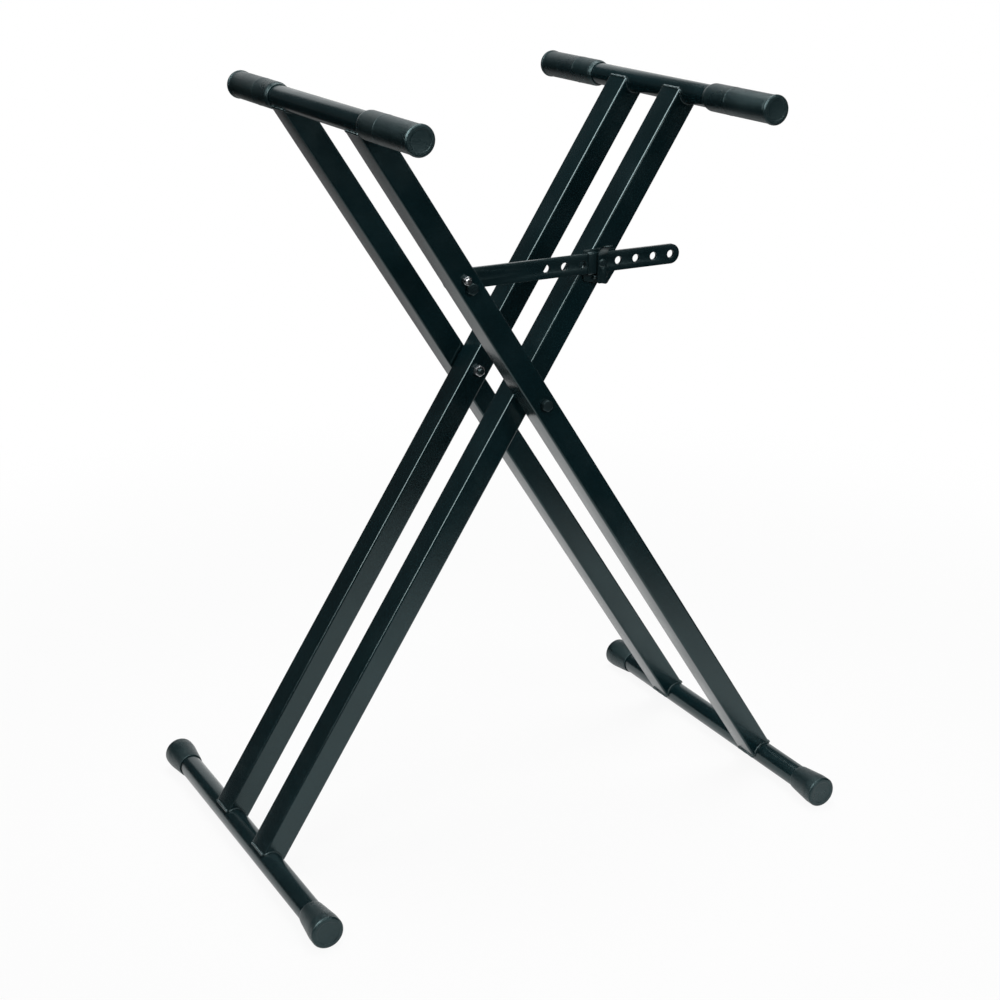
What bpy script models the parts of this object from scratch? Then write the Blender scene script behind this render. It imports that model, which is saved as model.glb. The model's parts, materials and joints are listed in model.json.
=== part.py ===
"""Double X keyboard stand: two tube frames crossing on two pivot bolts, held open by a strap and a lock.

The inner frame leans right and the outer frame leans left. Each frame is two rectangular legs between a round
top bar with rubber sleeves and a round foot bar with rubber caps. X runs across the stand, Y along the bars,
Z up; the origin is on the floor under the middle of the stand.
"""
import math

import bmesh
import bpy

# Fold, in degrees and metres: the pivot bolts sit a little above the crossing of the legs' centre lines
LEG_LEAN = math.radians(32.77)
PIVOT_RAISE = 0.0025
PIVOT_TO_TOP = 0.4234
PIVOT_TO_FOOT = 0.6626

# Legs of rectangular tube
LEG_DEPTH = 0.031
LEG_WIDTH = 0.039
LEG_WALL = 0.0012
LEG_CORNER = 0.002
INNER_LEG_SPACING = 0.1222
FRONT_GAP = 0.0131
REAR_GAP = 0.0028
TOP_SETBACK = 0.004
FOOT_SETBACK = 0.0065

# Round bars
TOP_TUBE_RADIUS = 0.0140
FOOT_TUBE_RADIUS = 0.0150
TUBE_WALL = 0.0012
TOP_BAR_LENGTH = 0.515
FOOT_BAR_LENGTH = 0.512

# Rubber sleeves and foot caps
SLEEVE_LENGTH = 0.1295
SLEEVE_RADIUS = 0.0171
SLEEVE_RIM_RADIUS = 0.0179
SLEEVE_CHAMFER = 0.006
CAP_LENGTH = 0.048
CAP_RADIUS = 0.0204
CAP_NECK_RADIUS = 0.0166
CAP_SHOULDER = 0.014
RUBBER_END = 0.004
RUBBER_ROUND = 0.0018
GROOVE_DEPTH = 0.0006

# Bolts, nuts and spacers
BOLT_RADIUS = 0.004
BOLT_HEX = 0.013
BOLT_HEAD_HEIGHT = 0.0053
NUT_HEIGHT = 0.0065
BOLT_TIP = 0.004
SPACER_RADIUS = 0.008
WASHER_RADIUS = 0.010
STRAP_SPACER_RADIUS = 0.006
STOP_BOLT_RADIUS = 0.003
STOP_HEX = 0.010
STOP_HEAD_HEIGHT = 0.004
STOP_NUT_HEIGHT = 0.005
STOP_DISTANCE = 0.0125

# Strap with its row of holes
LOCK_DISTANCE = 0.1869
STRAP_HEIGHT = 0.025
STRAP_THICKNESS = 0.004
STRAP_HOLE_RADIUS = 0.005
HOLE_PITCH = 0.0257
HOLE_COUNT = 8
LOCKED_HOLE = 4
STRAP_OVERHANG = 0.0128

# Lock: bracket round the strap, rivet, lever, pins and spring
SHEET = 0.002
BRACKET_LEFT = 0.0215
BRACKET_RIGHT = 0.024
BRACKET_TOP = 0.0165
BRACKET_DROP = 0.022
BRACKET_TOE = 0.0295
GUIDE_INSET = 0.003
GUIDE_LENGTH = 0.0115
GUIDE_SLACK = 0.0005
RIVET_RADIUS = 0.004
RIVET_HEAD_RADIUS = 0.0065
RIVET_HEAD_HEIGHT = 0.0016
RIVET_CAP_RADIUS = 0.0055
RIVET_CAP_HEIGHT = 0.0009
LEVER_WIDTH = 0.0125
LEVER_TOP = 0.006
LEVER_BOTTOM = 0.0255
TAB_RADIUS = 0.0185
TAB_ANGLE = math.radians(78)
TAB_LENGTH = 0.001
HINGE_DROP = 0.0175
HINGE_PIN_RADIUS = 0.0012
HINGE_HEAD_RADIUS = 0.0024
LUG_HALF = 0.0025
LUG_BACK = 0.0022
HINGE_STANDOFF = 0.003
LOCK_PIN_HEAD_RADIUS = 0.0055
LOCK_PIN_HEAD_HEIGHT = 0.0016
SPRING_DROP = 0.005
SPRING_RADIUS = 0.0021
SPRING_WIRE = 0.0003
SPRING_TURNS = 3

# Clearances and facets
GAP = 0.0003
HOLE_CLEARANCE = 0.0004
CUT_MARGIN = 0.002
BAR_SIDES = 24
BOLT_SIDES = 16
ARC_STEPS = 5
SPRING_STEPS = 8
MERGE = 0.00001

# Places worked out from the sizes above
LEG_OFFSET = PIVOT_RAISE * math.sin(LEG_LEAN)
PIVOT_HEIGHT = PIVOT_TO_FOOT * math.cos(LEG_LEAN) + LEG_OFFSET * math.sin(LEG_LEAN) + CAP_RADIUS
FRAME_OFFSET = (FRONT_GAP - REAR_GAP) / 2
INNER_MIDDLE = FRAME_OFFSET / 2
OUTER_MIDDLE = -FRAME_OFFSET / 2
INNER_FRONT = INNER_MIDDLE - INNER_LEG_SPACING / 2
INNER_REAR = INNER_MIDDLE + INNER_LEG_SPACING / 2
OUTER_FRONT = INNER_FRONT - LEG_WIDTH - FRONT_GAP
OUTER_REAR = INNER_REAR + LEG_WIDTH + REAR_GAP
LOCK_FACE = INNER_FRONT - LEG_WIDTH / 2
BACK_PLATE_OUT = GAP + SHEET
STRAP_BACK_OUT = BACK_PLATE_OUT + GAP
STRAP_FRONT_OUT = STRAP_BACK_OUT + STRAP_THICKNESS
FRONT_PLATE_OUT = STRAP_FRONT_OUT + GUIDE_SLACK
LEVER_BACK_OUT = FRONT_PLATE_OUT + GAP
HINGE_OUT = BACK_PLATE_OUT + HINGE_STANDOFF
STRAP_REACH = 2 * (LOCK_DISTANCE * math.sin(LEG_LEAN) + LEG_OFFSET * math.cos(LEG_LEAN))
FORWARD = math.pi / 2
BACKWARD = -math.pi / 2


def clear_scene():
    for thing in list(bpy.data.objects):
        bpy.data.objects.remove(thing, do_unlink=True)


def new_collection(name):
    collection = bpy.data.collections.new(name)
    bpy.context.scene.collection.children.link(collection)
    return collection


def finish(name, colour, roughness, metallic):
    """A material with one colour, roughness and metallic value."""
    material = bpy.data.materials.new(name)
    material.use_nodes = True
    shader = material.node_tree.nodes["Principled BSDF"]
    shader.inputs["Base Color"].default_value = (*colour, 1)
    shader.inputs["Roughness"].default_value = roughness
    shader.inputs["Metallic"].default_value = metallic
    material.diffuse_color = (*colour, 1)
    return material


clear_scene()
PARTS = new_collection("double_x_keyboard_stand")
CUTTERS = new_collection("cutters")

FRAME_PAINT = finish("frame_paint", (0.012, 0.018, 0.020), 0.38, 0.0)
STRAP_PAINT = finish("strap_paint", (0.014, 0.020, 0.022), 0.42, 0.0)
RUBBER = finish("rubber", (0.020, 0.024, 0.025), 0.70, 0.0)
ZINC = finish("zinc_steel", (0.55, 0.56, 0.57), 0.30, 1.0)
BLACK_STEEL = finish("black_steel", (0.020, 0.022, 0.024), 0.35, 0.9)
NYLON = finish("nylon", (0.030, 0.030, 0.032), 0.55, 0.0)


def empty(name, parent=None, location=(0, 0, 0), rotation=(0, 0, 0)):
    """A carrying point, which its pieces are parented to."""
    point = bpy.data.objects.new(name, None)
    point.parent = parent
    point.location = location
    point.rotation_euler = rotation
    PARTS.objects.link(point)
    return point


def piece(name, mesh, material, parent=None, location=(0, 0, 0), rotation=(0, 0, 0)):
    """A named sub-part, or a cutter where no material is given."""
    item = bpy.data.objects.new(name, mesh)
    item.parent = parent
    item.location = location
    item.rotation_euler = rotation
    if material is None:
        item.hide_render = True
        item.display_type = "WIRE"
        CUTTERS.objects.link(item)
    else:
        mesh.materials.append(material)
        PARTS.objects.link(item)
    return item


def mesh_from(shape, name):
    mesh = bpy.data.meshes.new(name)
    shape.to_mesh(mesh)
    shape.free()
    return mesh


def turned(name, profile, sides, material, closed=False, **place):
    """A turned piece about its own Z, with its flats at the profile's radii, shaded smooth."""
    half_step = math.pi / sides
    shape = bmesh.new()
    corners = [shape.verts.new((r, r * math.tan(half_step), z)) for r, z in profile]
    for first, second in zip(corners, corners[1:]):
        shape.edges.new((first, second))
    if closed:
        shape.edges.new((corners[-1], corners[0]))
    item = piece(name, mesh_from(shape, name), material, **place)
    spin = item.modifiers.new("turn", "SCREW")
    spin.steps = sides
    spin.render_steps = sides
    spin.use_merge_vertices = True
    spin.merge_threshold = MERGE
    spin.use_smooth_shade = True
    return item


def rod(name, radius, low, high, sides, material, **place):
    """A solid round bar between two heights on its own Z."""
    profile = [(0, high), (radius, high), (radius, low), (0, low)]
    return turned(name, profile, sides, material, **place)


def sleeve_tube(name, outer, inner, low, high, sides, material, **place):
    """A round tube, washer or spacer between two heights on its own Z."""
    profile = [(outer, high), (outer, low), (inner, low), (inner, high)]
    return turned(name, profile, sides, material, closed=True, **place)


def block(name, low, high, material, **place):
    """A box between two opposite corners."""
    shape = bmesh.new()
    bmesh.ops.create_cube(shape, size=1)
    size = [b - a for a, b in zip(low, high)]
    middle = [(a + b) / 2 for a, b in zip(low, high)]
    bmesh.ops.scale(shape, vec=size, verts=shape.verts)
    bmesh.ops.translate(shape, vec=middle, verts=shape.verts)
    return piece(name, mesh_from(shape, name), material, **place)


def rounded_bar(name, depth, width, low, high, corner, material, **place):
    """A rectangular bar along its own Z with rounded long edges."""
    shape = bmesh.new()
    bmesh.ops.create_cube(shape, size=1)
    bmesh.ops.scale(shape, vec=(depth, width, high - low), verts=shape.verts)
    bmesh.ops.translate(shape, vec=(0, 0, (high + low) / 2), verts=shape.verts)
    long_edges = [e for e in shape.edges if abs(e.verts[0].co.z - e.verts[1].co.z) > MERGE]
    bmesh.ops.bevel(shape, geom=long_edges, offset=corner, segments=2, profile=0.5, affect="EDGES")
    return piece(name, mesh_from(shape, name), material, **place)


def hexagon(name, across_flats, low, high, material, **place):
    """A six-sided prism along its own Z."""
    radius = across_flats / 2 / math.cos(math.pi / 6)
    shape = bmesh.new()
    bmesh.ops.create_cone(shape, cap_ends=True, segments=6, radius1=radius, radius2=radius, depth=high - low)
    bmesh.ops.translate(shape, vec=(0, 0, (high + low) / 2), verts=shape.verts)
    return piece(name, mesh_from(shape, name), material, **place)


def combine(item, other, operation):
    change = item.modifiers.new(other.name, "BOOLEAN")
    change.operation = operation
    change.object = other
    change.solver = "EXACT"


def cut(item, cutter):
    combine(item, cutter, "DIFFERENCE")


def join(item, other):
    combine(item, other, "UNION")


def plate(name, outlines, thickness, material, **place):
    """A flat plate in its own XY plane, from an outer outline and the outlines of its holes."""
    curve = bpy.data.curves.new(name, "CURVE")
    curve.dimensions = "2D"
    curve.fill_mode = "BOTH"
    curve.extrude = thickness / 2
    for outline in outlines:
        spline = curve.splines.new("POLY")
        spline.points.add(len(outline) - 1)
        spline.use_cyclic_u = True
        for point, (x, y) in zip(spline.points, outline):
            point.co = (x, y, 0, 1)
    return solid_from_curve(name, curve, material, **place)


def solid_from_curve(name, curve, material, **place):
    """A closed mesh piece from a curve, with its loose caps welded."""
    drawn = bpy.data.objects.new(name + "_curve", curve)
    bpy.context.scene.collection.objects.link(drawn)
    bpy.context.view_layer.update()
    evaluated = drawn.evaluated_get(bpy.context.evaluated_depsgraph_get())
    mesh = bpy.data.meshes.new_from_object(evaluated)
    bpy.data.objects.remove(drawn, do_unlink=True)
    shape = bmesh.new()
    shape.from_mesh(mesh)
    bmesh.ops.remove_doubles(shape, verts=shape.verts, dist=MERGE)
    bmesh.ops.recalc_face_normals(shape, faces=shape.faces)
    shape.to_mesh(mesh)
    shape.free()
    mesh.materials.clear()
    return piece(name, mesh, material, **place)


def circle(x, y, radius, sides=BOLT_SIDES):
    """The outline of a round hole, with its flats at the radius."""
    reach = radius / math.cos(math.pi / sides)
    angles = [2 * math.pi * (step + 0.5) / sides for step in range(sides)]
    return [(x + reach * math.cos(a), y + reach * math.sin(a)) for a in angles]


def bolt(name, hex_size, head_height, radius, length, material, **place):
    """A hexagon bolt whose head stands on z = 0 and whose shank runs down."""
    item = hexagon(name, hex_size, 0, head_height, material, **place)
    shank = rod(name + "_shank", radius, -length, head_height / 2, BOLT_SIDES, None, **place)
    join(item, shank)
    return item


def nut(name, hex_size, height, radius, material, **place):
    """A hexagon nut standing on z = 0, bored for its bolt."""
    item = hexagon(name, hex_size, 0, height, material, **place)
    bore = rod(name + "_bore", radius + GAP, -CUT_MARGIN, height + CUT_MARGIN, BOLT_SIDES, None, **place)
    cut(item, bore)
    return item


def rubber_sleeve(name, **place):
    """The sleeve over one end of a top bar: its mouth at z = 0, its closed end with a raised rim above."""
    bore = TOP_TUBE_RADIUS + GAP
    end = SLEEVE_LENGTH
    groove = end - 3 * RUBBER_ROUND
    profile = [
        (0, end),
        (SLEEVE_RIM_RADIUS - RUBBER_ROUND, end),
        (SLEEVE_RIM_RADIUS - RUBBER_ROUND / 4, end - RUBBER_ROUND / 3),
        (SLEEVE_RIM_RADIUS, end - RUBBER_ROUND),
        (SLEEVE_RIM_RADIUS, groove + RUBBER_ROUND / 2),
        (SLEEVE_RADIUS - GROOVE_DEPTH, groove),
        (SLEEVE_RADIUS, groove - RUBBER_ROUND / 2),
        (SLEEVE_RADIUS, SLEEVE_CHAMFER),
        (bore + GROOVE_DEPTH, 0),
        (bore, 0),
        (bore, end - RUBBER_END),
        (0, end - RUBBER_END),
    ]
    return turned(name, profile, BAR_SIDES, RUBBER, **place)


def foot_cap(name, **place):
    """The bell-shaped cap over one end of a foot bar: its mouth at z = 0, its round foot disc above."""
    bore = FOOT_TUBE_RADIUS + GAP
    end = CAP_LENGTH
    profile = [
        (0, end),
        (CAP_RADIUS - RUBBER_ROUND, end),
        (CAP_RADIUS - RUBBER_ROUND / 4, end - RUBBER_ROUND / 3),
        (CAP_RADIUS, end - RUBBER_ROUND),
        (CAP_RADIUS, end - CAP_SHOULDER),
        (CAP_NECK_RADIUS, RUBBER_ROUND),
        (CAP_NECK_RADIUS - RUBBER_ROUND / 6, 0),
        (bore, 0),
        (bore, end - RUBBER_END),
        (0, end - RUBBER_END),
    ]
    return turned(name, profile, BAR_SIDES, RUBBER, **place)


def bar_with_ends(prefix, level, axis, radius, length, end_maker, end_length, end_name):
    """A round bar on its axis with a rubber end pushed over each end."""
    half = length / 2
    reach = half - RUBBER_END - GAP
    sleeve_tube(f"{prefix}_{level}_tube", radius, radius - TUBE_WALL, -reach, reach, BAR_SIDES, FRAME_PAINT,
                parent=axis, rotation=(FORWARD, 0, 0))
    mouth = half - end_length
    end_maker(f"{prefix}_front_{end_name}", parent=axis, location=(0, -mouth, 0), rotation=(FORWARD, 0, 0))
    end_maker(f"{prefix}_rear_{end_name}", parent=axis, location=(0, mouth, 0), rotation=(BACKWARD, 0, 0))


def leg(prefix, side, carrier, x, y, bar_cutters):
    """A rectangular leg, hollow, coped round both bars and drilled for the pivot bolt."""
    low = -PIVOT_TO_FOOT + FOOT_SETBACK
    high = PIVOT_TO_TOP - TOP_SETBACK
    place = {"parent": carrier, "location": (x, y, 0)}
    item = rounded_bar(f"{prefix}_{side}_leg", LEG_DEPTH, LEG_WIDTH, low, high, LEG_CORNER,
                       FRAME_PAINT, **place)
    hollow = rounded_bar(f"{prefix}_{side}_hollow", LEG_DEPTH - 2 * LEG_WALL, LEG_WIDTH - 2 * LEG_WALL,
                         low - CUT_MARGIN, high + CUT_MARGIN, LEG_CORNER - LEG_WALL, None, **place)
    cut(item, hollow)
    for cutter in bar_cutters:
        cut(item, cutter)
    drill(item, 0, 0, BOLT_RADIUS + HOLE_CLEARANCE)
    return item


def drill(item, x, height, radius, depth=LEG_WIDTH + CUT_MARGIN):
    """Bores a leg from its front face, right through unless a depth is given."""
    front = item.location.y - LEG_WIDTH / 2 - CUT_MARGIN / 2
    cutter = rod(f"{item.name}_hole_{round(height * 1000)}", radius, -depth, 0, BOLT_SIDES, None,
                 parent=item.parent, location=(x, front, height), rotation=(FORWARD, 0, 0))
    cut(item, cutter)


def frame(prefix, lean, offset, middle, front_y, rear_y):
    """One frame: two legs between a top bar and a foot bar, carried by an empty on the pivot axis."""
    carrier = empty(f"{prefix}_frame_pivot", location=(0, 0, PIVOT_HEIGHT), rotation=(0, lean, 0))
    cutters = []
    levels = (("top", PIVOT_TO_TOP, TOP_TUBE_RADIUS), ("foot", -PIVOT_TO_FOOT, FOOT_TUBE_RADIUS))
    for level, height, radius in levels:
        axis = empty(f"{prefix}_{level}_axis", carrier, (offset, middle, height), (0, -lean, 0))
        reach = abs(front_y) + LEG_WIDTH
        cutters.append(rod(f"{prefix}_{level}_cope", radius + GAP, -reach, reach, BAR_SIDES, None,
                           parent=axis, rotation=(FORWARD, 0, 0)))
        if level == "top":
            bar_with_ends(prefix, level, axis, radius, TOP_BAR_LENGTH,
                          rubber_sleeve, SLEEVE_LENGTH, "top_sleeve")
        else:
            bar_with_ends(prefix, level, axis, radius, FOOT_BAR_LENGTH,
                          foot_cap, CAP_LENGTH, "foot_cap")
    front = leg(prefix, "front", carrier, offset, front_y, cutters)
    leg(prefix, "rear", carrier, offset, rear_y, cutters)
    return carrier, front


def pivot_joint(side, carrier, outer_y, inner_y, direction):
    """The bolt, spacer and nut of one crossing; the head is outside and the nut inside the inner frame."""
    turn = (FORWARD, 0, 0) if direction < 0 else (BACKWARD, 0, 0)
    outer_face = outer_y + direction * (LEG_WIDTH / 2 + GAP)
    inner_face = inner_y - direction * (LEG_WIDTH / 2 + GAP)
    crossing = (outer_y + inner_y) / 2
    length = abs(outer_face - inner_face) + NUT_HEIGHT + BOLT_TIP
    bolt(f"{side}_pivot_bolt", BOLT_HEX, BOLT_HEAD_HEIGHT, BOLT_RADIUS, length, BLACK_STEEL,
         parent=carrier, location=(0, outer_face, 0), rotation=turn)
    back = (BACKWARD, 0, 0) if direction < 0 else (FORWARD, 0, 0)
    nut(f"{side}_pivot_nut", BOLT_HEX, NUT_HEIGHT, BOLT_RADIUS, ZINC,
        parent=carrier, location=(0, inner_face, 0), rotation=back)
    gap = abs(outer_y - inner_y) - LEG_WIDTH
    half = gap / 2 - GAP
    radius = SPACER_RADIUS if direction < 0 else WASHER_RADIUS
    ring = "spacer" if direction < 0 else "washer"
    sleeve_tube(f"{side}_pivot_{ring}", radius, BOLT_RADIUS + GAP, -half, half,
                BOLT_SIDES, NYLON, parent=carrier, location=(0, crossing, 0), rotation=turn)


def height_strap(outer_carrier, outer_leg):
    """The flat strap with its row of holes, and the bolt, spacer and nut that hinge it on the outer leg."""
    strap_y = LOCK_FACE - (STRAP_BACK_OUT + STRAP_THICKNESS / 2)
    hinge = empty("strap_hinge", outer_carrier, (-LEG_OFFSET, strap_y, LOCK_DISTANCE), (0, LEG_LEAN, 0))
    half = STRAP_HEIGHT / 2
    hole_places = [STRAP_REACH + (k + 1 - LOCKED_HOLE) * HOLE_PITCH for k in range(HOLE_COUNT)]
    far_end = hole_places[-1] + STRAP_OVERHANG - half
    turns = [math.pi * step / (2 * ARC_STEPS) - math.pi / 2 for step in range(2 * ARC_STEPS + 1)]
    right = [(far_end + half * math.cos(a), half * math.sin(a)) for a in turns]
    left = [(-half * math.cos(a), -half * math.sin(a)) for a in turns]
    holes = [circle(x, 0, STRAP_HOLE_RADIUS) for x in hole_places]
    pivot_hole = circle(0, 0, BOLT_RADIUS + HOLE_CLEARANCE)
    plate("height_strap", [right + left, pivot_hole] + holes, STRAP_THICKNESS, STRAP_PAINT,
          parent=hinge, rotation=(FORWARD, 0, 0))
    back_face = STRAP_THICKNESS / 2 + GAP
    front_face = OUTER_FRONT - LEG_WIDTH / 2 - GAP - strap_y
    rear_face = OUTER_FRONT + LEG_WIDTH / 2 + GAP - strap_y
    length = back_face - front_face + NUT_HEIGHT + BOLT_TIP / 2
    bolt("strap_pivot_bolt", BOLT_HEX, BOLT_HEAD_HEIGHT, BOLT_RADIUS, length, BLACK_STEEL,
         parent=hinge, location=(0, front_face, 0), rotation=(FORWARD, 0, 0))
    nut("strap_pivot_nut", BOLT_HEX, NUT_HEIGHT, BOLT_RADIUS, ZINC,
        parent=hinge, location=(0, back_face, 0), rotation=(BACKWARD, 0, 0))
    washer_half = (-STRAP_THICKNESS / 2 - GAP - rear_face) / 2
    sleeve_tube("strap_pivot_spacer", STRAP_SPACER_RADIUS, BOLT_RADIUS + GAP, -washer_half, washer_half,
                BOLT_SIDES, NYLON, parent=hinge,
                location=(0, rear_face + washer_half, 0), rotation=(FORWARD, 0, 0))
    drill(outer_leg, -LEG_OFFSET, LOCK_DISTANCE, BOLT_RADIUS + HOLE_CLEARANCE)


def stop_bolt(carrier, outer_leg):
    """The small bolt above the strap's pivot: its head at the back of the leg, its nut in front."""
    height = LOCK_DISTANCE + STOP_DISTANCE
    rear_face = OUTER_FRONT + LEG_WIDTH / 2 + GAP
    front_face = OUTER_FRONT - LEG_WIDTH / 2 - GAP
    length = rear_face - front_face + STOP_NUT_HEIGHT + BOLT_TIP / 2
    bolt("strap_stop_bolt", STOP_HEX, STOP_HEAD_HEIGHT, STOP_BOLT_RADIUS, length, ZINC,
         parent=carrier, location=(-LEG_OFFSET, rear_face, height), rotation=(BACKWARD, 0, 0))
    nut("strap_stop_nut", STOP_HEX, STOP_NUT_HEIGHT, STOP_BOLT_RADIUS, ZINC,
        parent=carrier, location=(-LEG_OFFSET, front_face, height), rotation=(FORWARD, 0, 0))
    drill(outer_leg, -LEG_OFFSET, height, STOP_BOLT_RADIUS + HOLE_CLEARANCE)


def lock_bracket(axis):
    """The folded bracket that turns on the inner front leg and guides the strap.

    Its axis frame has X along the strap, Y towards the back, so outward is minus Y, and Z across the strap.
    """
    corners = [(-BRACKET_LEFT, -BRACKET_DROP), (BRACKET_RIGHT / 2, -BRACKET_TOE),
               (BRACKET_RIGHT, -STRAP_HEIGHT / 2), (BRACKET_RIGHT / 2, BRACKET_TOP),
               (-BRACKET_LEFT, BRACKET_TOP)]
    outlines = [corners, circle(0, 0, RIVET_RADIUS + HOLE_CLEARANCE)]
    bracket = plate("lock_bracket", outlines, SHEET, STRAP_PAINT,
                    parent=axis, location=(0, -GAP - SHEET / 2, 0), rotation=(FORWARD, 0, 0))
    inside = STRAP_HEIGHT / 2 + GUIDE_SLACK
    outside = inside + SHEET
    root = GAP + SHEET / 2
    front = FRONT_PLATE_OUT + SHEET
    fold = [(root, -outside), (front, -outside), (front, outside), (root, outside),
            (root, inside), (FRONT_PLATE_OUT, inside), (FRONT_PLATE_OUT, -inside), (root, -inside)]
    guide_middle = -BRACKET_LEFT + GUIDE_INSET + GUIDE_LENGTH / 2
    guide = plate("lock_bracket_guide", [fold], GUIDE_LENGTH, None,
                  parent=axis, location=(guide_middle, 0, 0), rotation=(FORWARD, 0, BACKWARD))
    join(bracket, guide)
    recess = rod("lock_bracket_recess", RIVET_CAP_RADIUS + GAP, BACK_PLATE_OUT - RIVET_CAP_HEIGHT - GAP,
                 BACK_PLATE_OUT + CUT_MARGIN, BOLT_SIDES, None, parent=axis, rotation=(FORWARD, 0, 0))
    cut(bracket, recess)
    lug_inner = LEVER_WIDTH / 2 + GAP
    for side in (-1, 1):
        near, far = sorted((side * lug_inner, side * (lug_inner + SHEET)))
        lug = block(f"lock_bracket_lug_{'left' if side < 0 else 'right'}",
                    (near, -HINGE_OUT - LUG_HALF + GAP, -HINGE_DROP - LUG_HALF),
                    (far, -GAP - SHEET / 2, -HINGE_DROP + LUG_HALF), None, parent=axis)
        join(bracket, lug)
    bore_half = lug_inner + SHEET + CUT_MARGIN
    bore = rod("lock_bracket_bore", HINGE_PIN_RADIUS + GAP, -bore_half, bore_half, BOLT_SIDES, None,
               parent=axis, location=(0, -HINGE_OUT, -HINGE_DROP), rotation=(0, FORWARD, 0))
    cut(bracket, bore)


def lock_rivet(axis, inner_leg):
    """The rivet that the bracket turns on, its heads inside the leg's wall and flush in the back plate."""
    inside = LEG_WALL + GAP
    flush = -BACK_PLATE_OUT
    profile = [
        (0, inside + RIVET_HEAD_HEIGHT), (RIVET_HEAD_RADIUS, inside + RIVET_HEAD_HEIGHT),
        (RIVET_HEAD_RADIUS, inside), (RIVET_RADIUS, inside),
        (RIVET_RADIUS, flush + RIVET_CAP_HEIGHT), (RIVET_CAP_RADIUS, flush + RIVET_CAP_HEIGHT),
        (RIVET_CAP_RADIUS, flush), (0, flush),
    ]
    turned("lock_rivet", profile, BOLT_SIDES, ZINC, parent=axis, rotation=(BACKWARD, 0, 0))
    drill(inner_leg, LEG_OFFSET, LOCK_DISTANCE, RIVET_RADIUS + HOLE_CLEARANCE, depth=LEG_WIDTH / 2)


def lever_path():
    """The lever's line from its tail to its finger tab, as distances outward and up from the lock's axis."""
    out = LEVER_BACK_OUT + SHEET / 2
    points = [(out, -LEVER_BOTTOM), (out, LEVER_TOP)]
    for step in range(1, ARC_STEPS + 1):
        angle = TAB_ANGLE * step / ARC_STEPS
        points.append((out + TAB_RADIUS * (1 - math.cos(angle)), LEVER_TOP + TAB_RADIUS * math.sin(angle)))
    last_out, last_up = points[-1]
    points.append((last_out + TAB_LENGTH * math.sin(TAB_ANGLE), last_up + TAB_LENGTH * math.cos(TAB_ANGLE)))
    return points


def lock_lever(hinge):
    """The spring-loaded lever: a bent strip with a finger tab and two lugs on the hinge pin."""
    half = LEVER_WIDTH / 2
    shape = bmesh.new()
    line = [shape.verts.new((-half, HINGE_OUT - out, up + HINGE_DROP)) for out, up in lever_path()]
    edges = [shape.edges.new(pair) for pair in zip(line, line[1:])]
    grown = bmesh.ops.extrude_edge_only(shape, edges=edges)
    new_verts = [v for v in grown["geom"] if isinstance(v, bmesh.types.BMVert)]
    bmesh.ops.translate(shape, vec=(LEVER_WIDTH, 0, 0), verts=new_verts)
    lever = piece("lock_lever", mesh_from(shape, "lock_lever"), STRAP_PAINT, parent=hinge)
    wall = lever.modifiers.new("sheet", "SOLIDIFY")
    wall.thickness = SHEET
    wall.offset = 0
    wall.use_even_offset = True
    for side in (-1, 1):
        near, far = sorted((side * half, side * (half - SHEET)))
        lug = block(f"lock_lever_lug_{'left' if side < 0 else 'right'}",
                    (near, HINGE_OUT - LEVER_BACK_OUT - SHEET / 2, -LUG_HALF), (far, LUG_BACK, LUG_HALF),
                    None, parent=hinge)
        join(lever, lug)
    pin_hole = rod("lock_lever_bore", HINGE_PIN_RADIUS + GAP, -LEVER_WIDTH, LEVER_WIDTH, BOLT_SIDES, None,
                   parent=hinge, rotation=(0, FORWARD, 0))
    cut(lever, pin_hole)
    lock_hole = rod("lock_lever_hole", RIVET_RADIUS + GAP, -CUT_MARGIN * 3, CUT_MARGIN * 3, BOLT_SIDES, None,
                    parent=hinge, location=(0, HINGE_OUT - LEVER_BACK_OUT, HINGE_DROP),
                    rotation=(FORWARD, 0, 0))
    cut(lever, lock_hole)


def lock_pin(hinge):
    """The pin riveted in the lever; its nose stops short of the strap, so that the strap slides freely."""
    nose = HINGE_OUT - STRAP_FRONT_OUT - GAP
    head = HINGE_OUT - LEVER_BACK_OUT - SHEET - GAP
    profile = [
        (0, LOCK_PIN_HEAD_HEIGHT - head), (LOCK_PIN_HEAD_RADIUS - GAP, LOCK_PIN_HEAD_HEIGHT - head),
        (LOCK_PIN_HEAD_RADIUS, LOCK_PIN_HEAD_HEIGHT / 2 - head), (LOCK_PIN_HEAD_RADIUS, -head),
        (RIVET_RADIUS, -head), (RIVET_RADIUS, -nose), (0, -nose),
    ]
    turned("lock_pin", profile, BOLT_SIDES, BLACK_STEEL, parent=hinge, location=(0, 0, HINGE_DROP),
           rotation=(FORWARD, 0, 0))


def hinge_pin(axis):
    """The headed pin through the lugs of the bracket and the lever."""
    half = LEVER_WIDTH / 2 + SHEET + 2 * GAP
    profile = [
        (0, half + SHEET / 2), (HINGE_HEAD_RADIUS, half + SHEET / 2), (HINGE_HEAD_RADIUS, half),
        (HINGE_PIN_RADIUS, half), (HINGE_PIN_RADIUS, -half), (HINGE_HEAD_RADIUS, -half),
        (HINGE_HEAD_RADIUS, -half - SHEET / 2), (0, -half - SHEET / 2),
    ]
    turned("lever_hinge_pin", profile, BOLT_SIDES, BLACK_STEEL, parent=axis,
           location=(0, -HINGE_OUT, -HINGE_DROP), rotation=(0, FORWARD, 0))


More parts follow.
